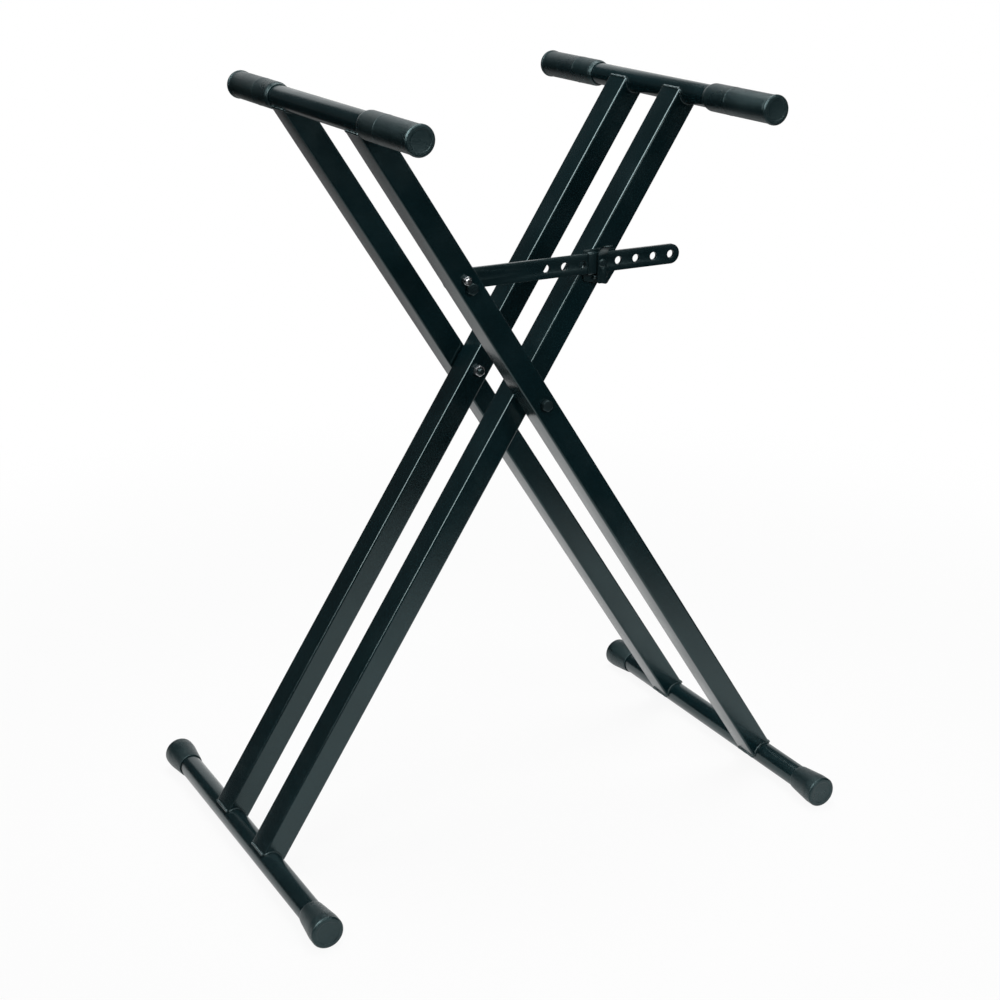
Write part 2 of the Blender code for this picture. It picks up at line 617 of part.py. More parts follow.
def lock_spring(axis):
    """The small compression spring between the back plate and the lever's tail, which closes the lever."""
    start = BACK_PLATE_OUT + GAP + SPRING_WIRE
    end = LEVER_BACK_OUT - GAP - SPRING_WIRE
    count = SPRING_TURNS * SPRING_STEPS
    curve = bpy.data.curves.new("lock_spring", "CURVE")
    curve.dimensions = "3D"
    curve.bevel_depth = SPRING_WIRE
    curve.bevel_resolution = 1
    curve.use_fill_caps = True
    coil = curve.splines.new("POLY")
    coil.points.add(count)
    for step, point in enumerate(coil.points):
        angle = 2 * math.pi * step / SPRING_STEPS
        out = start + (end - start) * step / count
        point.co = (SPRING_RADIUS * math.cos(angle), -out, SPRING_RADIUS * math.sin(angle), 1)
    solid_from_curve("lock_spring", curve, ZINC, parent=axis, location=(0, 0, -HINGE_DROP - SPRING_DROP))


def build():
    inner_carrier, inner_leg = frame("inner", LEG_LEAN, LEG_OFFSET, INNER_MIDDLE, INNER_FRONT, INNER_REAR)
    outer_carrier, outer_leg = frame("outer", -LEG_LEAN, -LEG_OFFSET, OUTER_MIDDLE, OUTER_FRONT, OUTER_REAR)
    pivot_joint("front", inner_carrier, OUTER_FRONT, INNER_FRONT, -1)
    pivot_joint("rear", inner_carrier, OUTER_REAR, INNER_REAR, 1)
    height_strap(outer_carrier, outer_leg)
    stop_bolt(outer_carrier, outer_leg)
    lock_axis = empty("lock_axis", inner_carrier, (LEG_OFFSET, LOCK_FACE, LOCK_DISTANCE), (0, -LEG_LEAN, 0))
    lock_bracket(lock_axis)
    lock_rivet(lock_axis, inner_leg)
    hinge_pin(lock_axis)
    lock_spring(lock_axis)
    lever_hinge = empty("lever_hinge", lock_axis, (0, -HINGE_OUT, -HINGE_DROP))
    lock_lever(lever_hinge)
    lock_pin(lever_hinge)


build()
bpy.context.view_layer.update()
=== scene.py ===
# %% [markdown]
# # A double X keyboard stand
#
# The stand is two steel frames that cross on a pair of bolts. Each frame has two legs of rectangular tube,
# welded between a round top bar and a round foot bar. Rubber sleeves carry the keyboard, rubber caps stand
# on the floor, and a strap with holes and a spring lock sets the height.
#
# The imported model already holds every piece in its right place. This lesson dresses it: each piece is
# rebuilt with the rounded edges, threads and welds of the real one, and gets a finish made from shader
# nodes.

# %% Load the frame
import json
import math

import bmesh
import bpy
from mathutils import Matrix, Vector


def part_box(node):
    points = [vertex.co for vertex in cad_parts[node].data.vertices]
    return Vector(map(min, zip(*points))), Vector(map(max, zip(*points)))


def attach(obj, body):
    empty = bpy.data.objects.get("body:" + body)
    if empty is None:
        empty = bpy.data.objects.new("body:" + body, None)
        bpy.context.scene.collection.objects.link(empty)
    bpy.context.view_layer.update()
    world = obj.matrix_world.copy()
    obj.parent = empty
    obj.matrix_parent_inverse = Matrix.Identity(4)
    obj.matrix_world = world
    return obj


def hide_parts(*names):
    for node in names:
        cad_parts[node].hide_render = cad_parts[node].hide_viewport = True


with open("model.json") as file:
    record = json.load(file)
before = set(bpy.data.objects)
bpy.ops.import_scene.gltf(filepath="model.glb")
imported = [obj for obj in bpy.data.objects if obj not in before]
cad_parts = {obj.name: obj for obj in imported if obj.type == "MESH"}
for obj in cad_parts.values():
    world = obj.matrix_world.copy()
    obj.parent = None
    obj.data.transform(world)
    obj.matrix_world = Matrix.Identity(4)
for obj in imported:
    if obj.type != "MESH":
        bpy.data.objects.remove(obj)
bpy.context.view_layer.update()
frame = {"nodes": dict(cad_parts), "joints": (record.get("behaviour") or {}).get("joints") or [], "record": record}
FRONT, BACK, UP, RIGHT = Vector((0, -1, 0)), Vector((0, 1, 0)), Vector((0, 0, 1)), Vector((1, 0, 0))

# %% [markdown]
# ## Camera
#
# The picture was taken from the front left, a little above the stand's top bars. The camera's place and
# lens come from fitting a camera to the stand's edges. A small shift puts the picture's centre where the
# photograph has it.

# %% Camera
def look_from(location, tilt, turn, lens, shift):
    """The scene's camera, with its angles in degrees and its lens in millimetres."""
    data = bpy.data.cameras.new("camera")
    data.lens = lens
    data.sensor_width = 36
    data.shift_x, data.shift_y = shift
    camera = bpy.data.objects.new("camera", data)
    camera.location = location
    camera.rotation_euler = (math.radians(tilt), 0, math.radians(turn))
    bpy.context.scene.collection.objects.link(camera)
    bpy.context.scene.camera = camera
    return camera


camera = look_from((-1.0929, -1.9959, 1.2424), 71.763, -28.224, 67.154, (0.0205, -0.0574))
print("camera", tuple(round(v, 3) for v in camera.location))

# %% [markdown]
# ## Floor and light
#
# Black paint shows almost nothing but what it mirrors, so what surrounds the stand matters more than lamps.
# It mirrors a dark studio with a white sheet, which runs back from the camera and rises behind the stand.
# So the frames stay black where they mirror the studio, and turn pale where they mirror the sheet: on the
# outer legs' slanted sides, the bars' upper and lower edges, and low down on the front faces.
#
# The camera itself sees white all round, with the stand's shadow on it. The Light Path node tells the two
# kinds of ray apart, so the plain background puts no more light on the stand.

# %% Shader helpers
def new_node(tree, kind, **values):
    """A shader node with its settings and, for names with capitals, its input values."""
    node = tree.nodes.new("ShaderNode" + kind)
    for name, value in values.items():
        if name in node.inputs:
            node.inputs[name].default_value = value
        else:
            setattr(node, name, value)
    return node


def math_node(tree, operation, first, second):
    """A Math node on two things, each a number or an output socket."""
    made = new_node(tree, "Math", operation=operation)
    for socket, value in zip(made.inputs, (first, second)):
        if isinstance(value, (int, float)):
            socket.default_value = value
        else:
            tree.links.new(value, socket)
    return made.outputs[0]


def times(tree, first, second):
    return math_node(tree, "MULTIPLY", first, second)


def ramp(tree, value, low, high, result=(0.0, 1.0), smooth=False):
    """Stretches a value between two levels to a result between two others, and holds it there."""
    made = new_node(tree, "MapRange", interpolation_type="SMOOTHSTEP" if smooth else "LINEAR")
    made.inputs["From Min"].default_value = low
    made.inputs["From Max"].default_value = high
    made.inputs["To Min"].default_value = result[0]
    made.inputs["To Max"].default_value = result[1]
    tree.links.new(value, made.inputs["Value"])
    return made.outputs["Result"]


def distance_along(tree, vector, direction):
    """How far a vector reaches along a direction."""
    made = new_node(tree, "VectorMath", operation="DOT_PRODUCT")
    tree.links.new(vector, made.inputs[0])
    made.inputs[1].default_value = direction
    return made.outputs["Value"]


# %% The sheet
DARK = 0.035  # what the studio mirrors beside the sheet
AHEAD = Vector((-math.sin(camera.rotation_euler.z), math.cos(camera.rotation_euler.z), 0))
ASIDE = Vector((AHEAD.y, -AHEAD.x, 0))
CAMERA_FOOT = Vector((camera.location.x, camera.location.y, 0))
SHEET_SPREAD = 0.285  # half its width for each metre from the camera
SHEET_EDGE = (0.04, 0.24)  # its soft edge, in metres past that width
SHEET_START = (0.9, 1.5)  # where it begins, in metres from the camera
NEAR_EDGE = (0.80, 1.15)  # the soft edge of the round part under the stand


def sheet_mask(tree):
    """1 on the white sheet and 0 on the dark floor, and the distance from the stand's middle."""
    position = new_node(tree, "TexCoord").outputs["Object"]
    moved = new_node(tree, "VectorMath", operation="SUBTRACT")
    tree.links.new(position, moved.inputs[0])
    moved.inputs[1].default_value = CAMERA_FOOT
    ahead = distance_along(tree, moved.outputs["Vector"], AHEAD)
    aside = math_node(tree, "ABSOLUTE", distance_along(tree, moved.outputs["Vector"], ASIDE), 0)
    past_edge = math_node(tree, "SUBTRACT", aside, times(tree, ahead, SHEET_SPREAD))
    behind = times(tree, ramp(tree, past_edge, *SHEET_EDGE, (1.0, 0.0), True),
                   ramp(tree, ahead, *SHEET_START, smooth=True))
    reach = new_node(tree, "VectorMath", operation="LENGTH")
    tree.links.new(position, reach.inputs[0])
    near = ramp(tree, reach.outputs["Value"], *NEAR_EDGE, (1.0, 0.0), True)
    return math_node(tree, "MAXIMUM", behind, near), reach.outputs["Value"]


def kinds_of_ray(tree):
    """1 for the camera's own rays, and 1 for rays from a mirror or through glass."""
    path = new_node(tree, "LightPath")
    mirrored = math_node(tree, "MAXIMUM", path.outputs["Is Glossy Ray"], path.outputs["Is Transmission Ray"])
    return path.outputs["Is Camera Ray"], mirrored


# %% Floor
FLOOR_SIZE = 30
FLOOR_PAINT = 0.86
# A painted falloff of light: the sheet's glow and the floor's paint darken with distance from the stand.
LIGHT_FALLOFF_REACH, LIGHT_FALLOFF_TO = (0.5, 1.4), 0.3  # the sheet greys with its distance from the stand
GLOW_REACH, GLOW_NEAR = (0.3, 1.8), 0.92  # near the stand the rest is paint, which takes its shadow
GLOW_MIRRORED = 0.6


def floor_material():
    """White for the camera; what mirrors it sees the sheet, paler near the stand by a painted falloff of light,
    and the dark floor.
    """
    material = bpy.data.materials.new("studio_floor")
    material.use_nodes = True
    tree = material.node_tree
    tree.nodes.clear()
    output = new_node(tree, "OutputMaterial")
    mask, reach = sheet_mask(tree)
    direct, mirrored = kinds_of_ray(tree)
    # The sheet, with the painted falloff of light from the stand.
    sheet = times(tree, ramp(tree, mask, 0, 1, (DARK, 1.0)), ramp(tree, reach, *LIGHT_FALLOFF_REACH, (1.0, LIGHT_FALLOFF_TO)))
    painted = new_node(tree, "BsdfDiffuse")
    glow = new_node(tree, "Emission", Strength=1.0)
    tree.links.new(times(tree, sheet, FLOOR_PAINT), painted.inputs["Color"])
    tree.links.new(math_node(tree, "MAXIMUM", sheet, direct), glow.inputs["Color"])
    mix = new_node(tree, "MixShader")
    seen = times(tree, direct, ramp(tree, reach, *GLOW_REACH, (GLOW_NEAR, 1.0), True))
    share = math_node(tree, "MAXIMUM", seen, times(tree, mirrored, GLOW_MIRRORED))
    tree.links.new(share, mix.inputs[0])
    tree.links.new(painted.outputs[0], mix.inputs[1])
    tree.links.new(glow.outputs[0], mix.inputs[2])
    tree.links.new(mix.outputs[0], output.inputs["Surface"])
    return material


def new_object(name, shape):
    """An object in the scene made from a bmesh, which is used up."""
    mesh = bpy.data.meshes.new(name)
    shape.to_mesh(mesh)
    shape.free()
    made = bpy.data.objects.new(name, mesh)
    bpy.context.scene.collection.objects.link(made)
    return made


def make_floor():
    shape = bmesh.new()
    bmesh.ops.create_grid(shape, x_segments=1, y_segments=1, size=FLOOR_SIZE)
    floor = new_object("floor", shape)
    floor.data.materials.append(floor_material())
    return floor


floor = make_floor()
print("floor", floor.name, "width", 2 * FLOOR_SIZE)

# %% Room and lamps
ROOM_SIDE = (0.50, 0.66)  # the sheet's edge at each side, as a slope from the camera's own direction
ROOM_TOP = (0.45, 0.58)  # its upper edge, as a height on a ball of radius 1
ROOM_WHITE = 0.78


def make_room():
    """A dark studio with the sheet rising behind the stand, up to about 31 degrees and 30 to each side."""
    world = bpy.data.worlds.new("room")
    bpy.context.scene.world = world
    world.use_nodes = True
    tree = world.node_tree
    tree.nodes.clear()
    output = new_node(tree, "OutputWorld")
    direction = new_node(tree, "TexCoord").outputs["Generated"]
    ahead = distance_along(tree, direction, AHEAD)
    aside = math_node(tree, "ABSOLUTE", distance_along(tree, direction, ASIDE), 0)
    spread = math_node(tree, "DIVIDE", aside, math_node(tree, "MAXIMUM", ahead, 0.001))
    within = ramp(tree, spread, *ROOM_SIDE, (1.0, 0.0), True)
    below = ramp(tree, distance_along(tree, direction, UP), *ROOM_TOP, (1.0, 0.0), True)
    sheet = times(tree, within, below)
    light = new_node(tree, "Background", Strength=1.0)
    shown = math_node(tree, "MAXIMUM", ramp(tree, sheet, 0, 1, (DARK, ROOM_WHITE)), kinds_of_ray(tree)[0])
    tree.links.new(shown, light.inputs["Color"])
    tree.links.new(light.outputs[0], output.inputs["Surface"])


def soft_lamp(name, location, aim, size, power):
    """A square area lamp that faces a point."""
    data = bpy.data.lights.new(name, "AREA")
    data.shape = "SQUARE"
    data.size = size
    data.energy = power
    lamp = bpy.data.objects.new(name, data)
    lamp.location = location
    lamp.rotation_euler = (Vector(aim) - Vector(location)).to_track_quat("-Z", "Y").to_euler()
    bpy.context.scene.collection.objects.link(lamp)
    return lamp


make_room()
soft_lamp("overhead", (0.3, 0.5, 3.2), (0, 0, 0.4), 1.8, 65)
soft_lamp("left_front", (-1.55, -1.30, 2.6), (0.05, 0, 0.75), 1.2, 26)
reflector = soft_lamp("left_reflector", (-2.2, -0.15, 2.6), (0.1, 0, 0.8), 2.4, 160)
reflector.visible_diffuse = False  # it only draws the bright line on the legs' corners
soft_lamp("front_fill", (0.9, -2.6, 1.9), (0, 0, 0.5), 2.0, 30)
bpy.context.scene.view_settings.view_transform = "Standard"

# %% [markdown]
# ## Finishes
#
# Three effects are shared by several finishes, so each is a node group with named sockets. **Edge wear**
# compares the surface with a rounded copy of itself from a Bevel node, which marks the places where paint
# is thin or rubbed; on the powder coat the same mask also carries a painted highlight on the corners.
# **Grain** is fine noise for the height of a Bump node and slow noise for a change in gloss. **Dust** is fine
# specks in soft clouds, on surfaces that face up.

# %% Helpers for node groups
def new_group(name, inputs, outputs):
    """A shader node group whose sockets are all numbers, and its input and output nodes."""
    group = bpy.data.node_groups.new(name, "ShaderNodeTree")
    for socket, value in inputs.items():
        made = group.interface.new_socket(name=socket, in_out="INPUT", socket_type="NodeSocketFloat")
        made.default_value = value
    for socket in outputs:
        group.interface.new_socket(name=socket, in_out="OUTPUT", socket_type="NodeSocketFloat")
    return group, group.nodes.new("NodeGroupInput"), group.nodes.new("NodeGroupOutput")


def noise(tree, scale, detail):
    """Noise on the Object coordinates; its scale, in cells to the metre, is a number or an output socket."""
    made = new_node(tree, "TexNoise", Detail=detail)
    if isinstance(scale, (int, float)):
        made.inputs["Scale"].default_value = scale
    else:
        tree.links.new(scale, made.inputs["Scale"])
    tree.links.new(new_node(tree, "TexCoord").outputs["Object"], made.inputs["Vector"])
    return made.outputs["Fac"]


def patches(tree, scale, detail, low=0.35, high=0.68, result=(0.0, 1.0)):
    """Noise as soft patches, stretched between two of its levels."""
    return ramp(tree, noise(tree, scale, detail), low, high, result)


# %% The edge wear and painted highlight group
FLAT, CORNER = 0.985, 0.80  # how well the rounded copy agrees with a flat face and with a corner


def edge_wear_and_highlight_group():
    group, entry, result = new_group("edge_wear_and_highlight", {"Width": 0.001, "Patchiness": 0.5}, ["Mask"])
    rounded = new_node(group, "Bevel", samples=4)
    group.links.new(entry.outputs["Width"], rounded.inputs["Radius"])
    agreement = new_node(group, "VectorMath", operation="DOT_PRODUCT")
    group.links.new(rounded.outputs["Normal"], agreement.inputs[0])
    group.links.new(new_node(group, "NewGeometry").outputs["Normal"], agreement.inputs[1])
    edge = ramp(group, agreement.outputs["Value"], FLAT, CORNER)
    kept = math_node(group, "SUBTRACT", 1.0, entry.outputs["Patchiness"])
    share = math_node(group, "MAXIMUM", patches(group, 160, 4, 0.42, 0.62), kept)
    group.links.new(times(group, edge, share), result.inputs["Mask"])
    return group


# %% The grain group
FINE_SHARE = 0.6  # the rest of the height is noise with larger cells
LARGER_CELLS = 0.22  # their scale, as a part of the fine one


def grain_group():
    group, entry, result = new_group(
        "grain", {"Scale": 1500.0, "Gloss Low": 0.3, "Gloss High": 0.4}, ["Height", "Roughness"])
    scale, low = entry.outputs["Scale"], entry.outputs["Gloss Low"]
    fine = times(group, noise(group, scale, 2), FINE_SHARE)
    larger = noise(group, times(group, scale, LARGER_CELLS), 2)
    coarse = times(group, larger, 1 - FINE_SHARE)
    group.links.new(math_node(group, "ADD", fine, coarse), result.inputs["Height"])
    spread = math_node(group, "SUBTRACT", entry.outputs["Gloss High"], low)
    varied = times(group, patches(group, 22, 3, 0.35, 0.65), spread)
    group.links.new(math_node(group, "ADD", varied, low), result.inputs["Roughness"])
    return group


# %% The dust group
def dust_group():
    group, entry, result = new_group("dust", {"Amount": 0.1}, ["Mask"])
    normal = new_node(group, "SeparateXYZ")
    group.links.new(new_node(group, "NewGeometry").outputs["Normal"], normal.inputs[0])
    upward = ramp(group, normal.outputs["Z"], 0.1, 0.9)
    specks = patches(group, 900, 3, 0.52, 0.70)
    clouds = patches(group, 14, 3, 0.35, 0.70)
    settled = times(group, upward, times(group, specks, clouds))
    group.links.new(times(group, settled, entry.outputs["Amount"]), result.inputs["Mask"])
    return group


EDGE_WEAR_AND_HIGHLIGHT = edge_wear_and_highlight_group()
GRAIN = grain_group()
DUST = dust_group()
print("groups", [g.name for g in (EDGE_WEAR_AND_HIGHLIGHT, GRAIN, DUST)])

# %% Helpers for finishes
BLUE_GREEN = (0.72, 1.0, 1.02, 1)  # the tint of the gloss on everything black


def colour_mix(tree, factor, first, second):
    """One colour turning into another; each is a colour or an output socket."""
    made = new_node(tree, "Mix", data_type="RGBA")
    tree.links.new(factor, made.inputs["Factor"])
    for socket, value in ((made.inputs[6], first), (made.inputs[7], second)):
        if isinstance(value, tuple):
            socket.default_value = (*value, 1)
        else:
            tree.links.new(value, socket)
    return made.outputs[2]


def group_node(tree, group, **values):
    made = tree.nodes.new("ShaderNodeGroup")
    made.node_tree = group
    for name, value in values.items():
        made.inputs[name.replace("_", " ")].default_value = value
    return made


def bump(tree, shader, height, distance):
    made = new_node(tree, "Bump", Strength=1.0, Distance=distance)
    tree.links.new(height, made.inputs["Height"])
    tree.links.new(made.outputs["Normal"], shader.inputs["Normal"])


def start_finish(name, colours, clouds, gloss, grain, depth=None, wear=None, worn=None, dust=None, **values):
    """A material of cloudy colour with grain, worn edges that on the powder coat also carry a painted highlight,
    and dust, and its parts for what else it needs.
    """
    material = bpy.data.materials.new(name)
    material.use_nodes = True
    tree = material.node_tree
    shader = tree.nodes["Principled BSDF"]
    for socket, value in values.items():
        shader.inputs[socket.replace("_", " ")].default_value = value
    parts = {"grain": group_node(tree, GRAIN, Scale=grain, Gloss_Low=gloss[0], Gloss_High=gloss[1])}
    colour = colour_mix(tree, patches(tree, *clouds), *colours)
    # On the powder coat, this lighter edge colour is partly a painted highlight on the corners.
    if wear:
        parts["wear"] = group_node(tree, EDGE_WEAR_AND_HIGHLIGHT, Width=wear[0], Patchiness=wear[1]).outputs["Mask"]
        colour = colour_mix(tree, parts["wear"], colour, worn)
    if dust:
        mask = group_node(tree, DUST, Amount=dust[0]).outputs["Mask"]
        colour = colour_mix(tree, mask, colour, dust[1])
    tree.links.new(colour, shader.inputs["Base Color"])
    tree.links.new(parts["grain"].outputs["Roughness"], shader.inputs["Roughness"])
    if depth:
        bump(tree, shader, parts["grain"].outputs["Height"], depth)
    return material, tree, shader, parts


# %% [markdown]
# ### Powder coat
#
# The frames are powder coated: a baked skin with a fine pebbled grain, black with a touch of blue-green,
# and a thin clear gloss over it. On corners the coat runs thin and the gloss rises, so edge wear makes it
# smoother. The lighter colour there is partly that wear and partly a painted highlight on the corners. The
# sheet metal of the strap and lock has the same coat, a little duller and more handled.

# %% Powder coat
DARKER_CLOUDS = 0.72
WORN_SMOOTHER = 0.08
PAINT_DUST = (0.10, (0.16, 0.16, 0.15))


def powder_coat(name, colour, **values):
    deeper = tuple(v * DARKER_CLOUDS for v in colour)
    material, tree, shader, parts = start_finish(
        name, (deeper, colour), (9, 3, 0.35, 0.65), dust=PAINT_DUST,
        IOR=1.54, Specular_Tint=BLUE_GREEN, Coat_Weight=0.2, Coat_Roughness=0.12, **values)
    smoother = times(tree, parts["wear"], WORN_SMOOTHER)
    roughness = math_node(tree, "SUBTRACT", parts["grain"].outputs["Roughness"], smoother)
    tree.links.new(roughness, shader.inputs["Roughness"])
    return material


# The lighter edge colours below are partly rubbed coat and partly a painted highlight on the corners.
FRAME_COAT = powder_coat("frame_powder_coat", (0.0040, 0.0176, 0.0215), gloss=(0.18, 0.26), grain=900,
                         depth=0.00014, wear=(0.0016, 0.55), worn=(0.034, 0.040, 0.041))
STRAP_COAT = powder_coat("strap_powder_coat", (0.0040, 0.0160, 0.0195), gloss=(0.26, 0.36), grain=1200,
                         depth=0.00010, wear=(0.0008, 0.75), worn=(0.056, 0.062, 0.064))

# %% [markdown]
# ### Rubber
#
# Sleeves and caps are moulded in black rubber. It has a soft sheen and a skin like fine leather from the
# spark-eroded mould, and it greys a little where it is handled. Noise and the cells of a Voronoi texture
# make the skin.

# %% Rubber
SKIN_CELLS = 700.0
SKIN_DEPTH = 0.00016


def moulded_rubber():
    material, tree, shader, parts = start_finish(
        "moulded_rubber", ((0.0055, 0.0165, 0.0195), (0.0085, 0.0225, 0.0260)), (30, 4), gloss=(0.25, 0.35),
        grain=900, wear=(0.0012, 0.6), worn=(0.026, 0.038, 0.041), dust=(0.08, (0.14, 0.14, 0.13)),
        IOR=1.5, Specular_Tint=BLUE_GREEN)
    cells = new_node(tree, "TexVoronoi", feature="DISTANCE_TO_EDGE", Scale=SKIN_CELLS)
    tree.links.new(new_node(tree, "TexCoord").outputs["Object"], cells.inputs["Vector"])
    raised = ramp(tree, cells.outputs["Distance"], 0.0, 0.25, (0.0, 0.5))
    bump(tree, shader, math_node(tree, "ADD", parts["grain"].outputs["Height"], raised), SKIN_DEPTH)
    return material


RUBBER = moulded_rubber()

# %% [markdown]
# ### Fastener metals and nylon
#
# Nuts, the small stop bolt, the rivet and the spring are zinc plated: bright, faintly blue, with a cloudy
# gloss where fingers and tools touched them. The three large bolts and the lock's two pins are blackened
# steel with rubbed corners. Spacers and the washer are plain black nylon.

# %% Metals and nylon
FINE_GRAIN = 0.00003  # the height of the grain on small parts


def zinc_plate():
    material, tree, shader, parts = start_finish(
        "zinc_plate", ((0.50, 0.53, 0.55), (0.68, 0.70, 0.72)), (420, 4), gloss=(0.20, 0.34), grain=2600,
        depth=FINE_GRAIN, wear=(0.0004, 0.5), worn=(0.74, 0.75, 0.76), Metallic=1.0)
    stains = patches(tree, 700, 3, 0.45, 0.75, (0.0, 0.16))
    roughness = math_node(tree, "ADD", parts["grain"].outputs["Roughness"], stains)
    tree.links.new(roughness, shader.inputs["Roughness"])
    return material


def blackened_steel():
    material, tree, shader, parts = start_finish(
        "blackened_steel", ((0.0050, 0.0125, 0.0150), (0.0090, 0.0190, 0.0220)), (500, 4),
        gloss=(0.26, 0.40), grain=2400, depth=FINE_GRAIN, wear=(0.0006, 0.8), worn=(0.16, 0.18, 0.18),
        IOR=1.6, Specular_Tint=BLUE_GREEN)
    tree.links.new(times(tree, parts["wear"], 0.7), shader.inputs["Metallic"])
    return material


ZINC = zinc_plate()
BLACK_STEEL = blackened_steel()
NYLON = start_finish("black_nylon", ((0.0070, 0.0140, 0.0160), (0.0120, 0.0200, 0.0220)), (200, 3),
                     gloss=(0.42, 0.52), grain=1800, depth=FINE_GRAIN, IOR=1.5)[0]
FINISHES = {"frame_paint": FRAME_COAT, "strap_paint": STRAP_COAT, "rubber": RUBBER,
            "zinc_steel": ZINC, "black_steel": BLACK_STEEL, "nylon": NYLON}
for subpart in frame["record"]["subparts"]:
    node = frame["nodes"][subpart["node"]]
    node.data.materials.clear()
    node.data.materials.append(FINISHES[subpart["material_slot"]])
print("finishes", sorted(FINISHES))

# %% [markdown]
# ## Tools for the pieces
#
# Most pieces are turned, folded or cut from sheet, so a few helpers cover them. Every finished piece has
# its object at the origin and its place in its mesh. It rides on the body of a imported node, and all pieces
# but the weld beads stand for their node and hide it.

# %% Places
BODY_OF = {node: body for body, nodes in frame["record"]["behaviour"]["bodies"].items() for node in nodes}
SLOT_OF = {row["node"]: row["material_slot"] for row in frame["record"]["subparts"]}
ENDS = [(prefix, side) for prefix in ("inner", "outer") for side in ("front", "rear")]


def middle(node):
    low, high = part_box(node)
    return (low + high) / 2


def radius_of(node):
    """The outer radius of a round node that lies across the stand."""
    low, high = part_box(node)
    return (high.z - low.z) / 2


def facing(place, along, across=UP):
    """A matrix at a place whose Z runs along one direction and whose X is as near as can be to another."""
    z = Vector(along).normalized()
    x = (across - z * z.dot(across)).normalized()
    turn = Matrix((x, z.cross(x), z)).transposed()
    return Matrix.Translation(place) @ turn.to_4x4()


def on_axis(node, y, along, across=UP):
    """A matrix at a y on the middle line of a node that lies across the stand."""
    centre = middle(node)
    return facing(Vector((centre.x, y, centre.z)), along, across)


# %% Finished pieces
SAME = 1e-6  # points closer than this are one


def finished(name, shape, node, stands_for=True, sharp=35, matrix=None):
    """A bmesh as a piece that rides with a node's body, takes its finish, and stands for it."""
    if matrix is not None:
        bmesh.ops.transform(shape, matrix=matrix, verts=shape.verts)
    bmesh.ops.remove_doubles(shape, verts=shape.verts, dist=SAME)
    bmesh.ops.recalc_face_normals(shape, faces=shape.faces)
    piece = new_object(name, shape)
    piece.data.shade_smooth()
    piece.data.set_sharp_from_angle(angle=math.radians(sharp))
    piece.data.materials.append(FINISHES[SLOT_OF[node]])
    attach(piece, BODY_OF[node])
    if stands_for:
        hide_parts(node)
    return piece


def round_off(shape, edges, radius, segments, affect="EDGES"):
    bmesh.ops.bevel(shape, geom=edges, offset=radius, segments=segments, affect=affect, profile=0.5,
                    material=-1)


def turned(outline, steps=48, closed=False):
    """A bmesh turned about Z from (radius, height, rounding) points; a rounding bevels that ring."""
    shape = bmesh.new()
    corners = [shape.verts.new((radius, 0, height)) for radius, height, _ in outline]
    pairs = list(zip(corners, corners[1:]))
    if closed:
        pairs.append((corners[-1], corners[0]))
    edges = [shape.edges.new(pair) for pair in pairs]
    bmesh.ops.spin(shape, geom=corners + edges, axis=UP, angle=2 * math.pi, steps=steps, use_merge=True)
    bmesh.ops.remove_doubles(shape, verts=shape.verts, dist=SAME)
    bmesh.ops.recalc_face_normals(shape, faces=shape.faces)
    for radius, height, rounding in outline:
        if rounding > 0:
            ring = [e for e in shape.edges if all(
                abs(v.co.z - height) < SAME and abs(v.co.xy.length - radius) < SAME for v in e.verts)]
            round_off(shape, ring, rounding, 4)
    return shape


def combined(shape, tools, bevel=0.0, segments=3, angle=40):
    """A bmesh after Booleans with others, given as (operation, bmesh), and a bevel on its sharp edges."""
    thing = new_object("shape", shape)
    others = []
    for operation, other in tools:
        others.append(new_object("tool", other))
        change = thing.modifiers.new(operation, "BOOLEAN")
        change.operation = operation
        change.object = others[-1]
        change.solver = "EXACT"
    if bevel:
        edge = thing.modifiers.new("rounding", "BEVEL")
        edge.width = bevel
        edge.segments = segments
        edge.limit_method = "ANGLE"
        edge.angle_limit = math.radians(angle)
        edge.profile = 0.5
    bpy.context.view_layer.update()
    result = bmesh.new()
    result.from_object(thing, bpy.context.evaluated_depsgraph_get())
    for item in [thing, *others]:
        bpy.data.objects.remove(item, do_unlink=True)
    return result


def drum(radius, low, high, steps=48, matrix=None):
    """A plain round bar on Z, used as a cutter."""
    shape = bmesh.new()
    bmesh.ops.create_cone(shape, cap_ends=True, segments=steps, radius1=radius, radius2=radius,
                          depth=high - low)
    bmesh.ops.translate(shape, vec=(0, 0, (low + high) / 2), verts=shape.verts)
    if matrix is not None:
        bmesh.ops.transform(shape, matrix=matrix, verts=shape.verts)
    return shape


def bar(size, centre, rounding=0.0, segments=5):
    """A box with its size and centre; a rounding bevels the edges that run along Z."""
    shape = bmesh.new()
    bmesh.ops.create_cube(shape, size=1)
    bmesh.ops.scale(shape, vec=size, verts=shape.verts)
    bmesh.ops.translate(shape, vec=centre, verts=shape.verts)
    if rounding:
        upright = [e for e in shape.edges if abs(e.verts[0].co.z - e.verts[1].co.z) > SAME]
        round_off(shape, upright, rounding, segments)
    return shape


# %% [markdown]
# ## Top and foot bars
#
# Each bar is a length of round tube. The tube is turned from its outer and inner radius, and its ends hide
# inside the rubber.

# %% Round bars
TUBE_WALL = 0.0012
TUBE_EDGE = 0.0004


def round_bar(node):
    low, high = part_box(node)
    radius, half = radius_of(node), (high.y - low.y) / 2
    inner = radius - TUBE_WALL
    outline = [(radius, -half, TUBE_EDGE), (radius, half, TUBE_EDGE), (inner, half, 0), (inner, -half, 0)]
    return finished(node + "_bar", turned(outline, 72, closed=True), node, matrix=facing(middle(node), BACK))


bars = [round_bar(f"{prefix}_{level}_tube") for prefix in ("inner", "outer") for level in ("top", "foot")]
print("bars", [round(b.dimensions.y, 4) for b in bars])

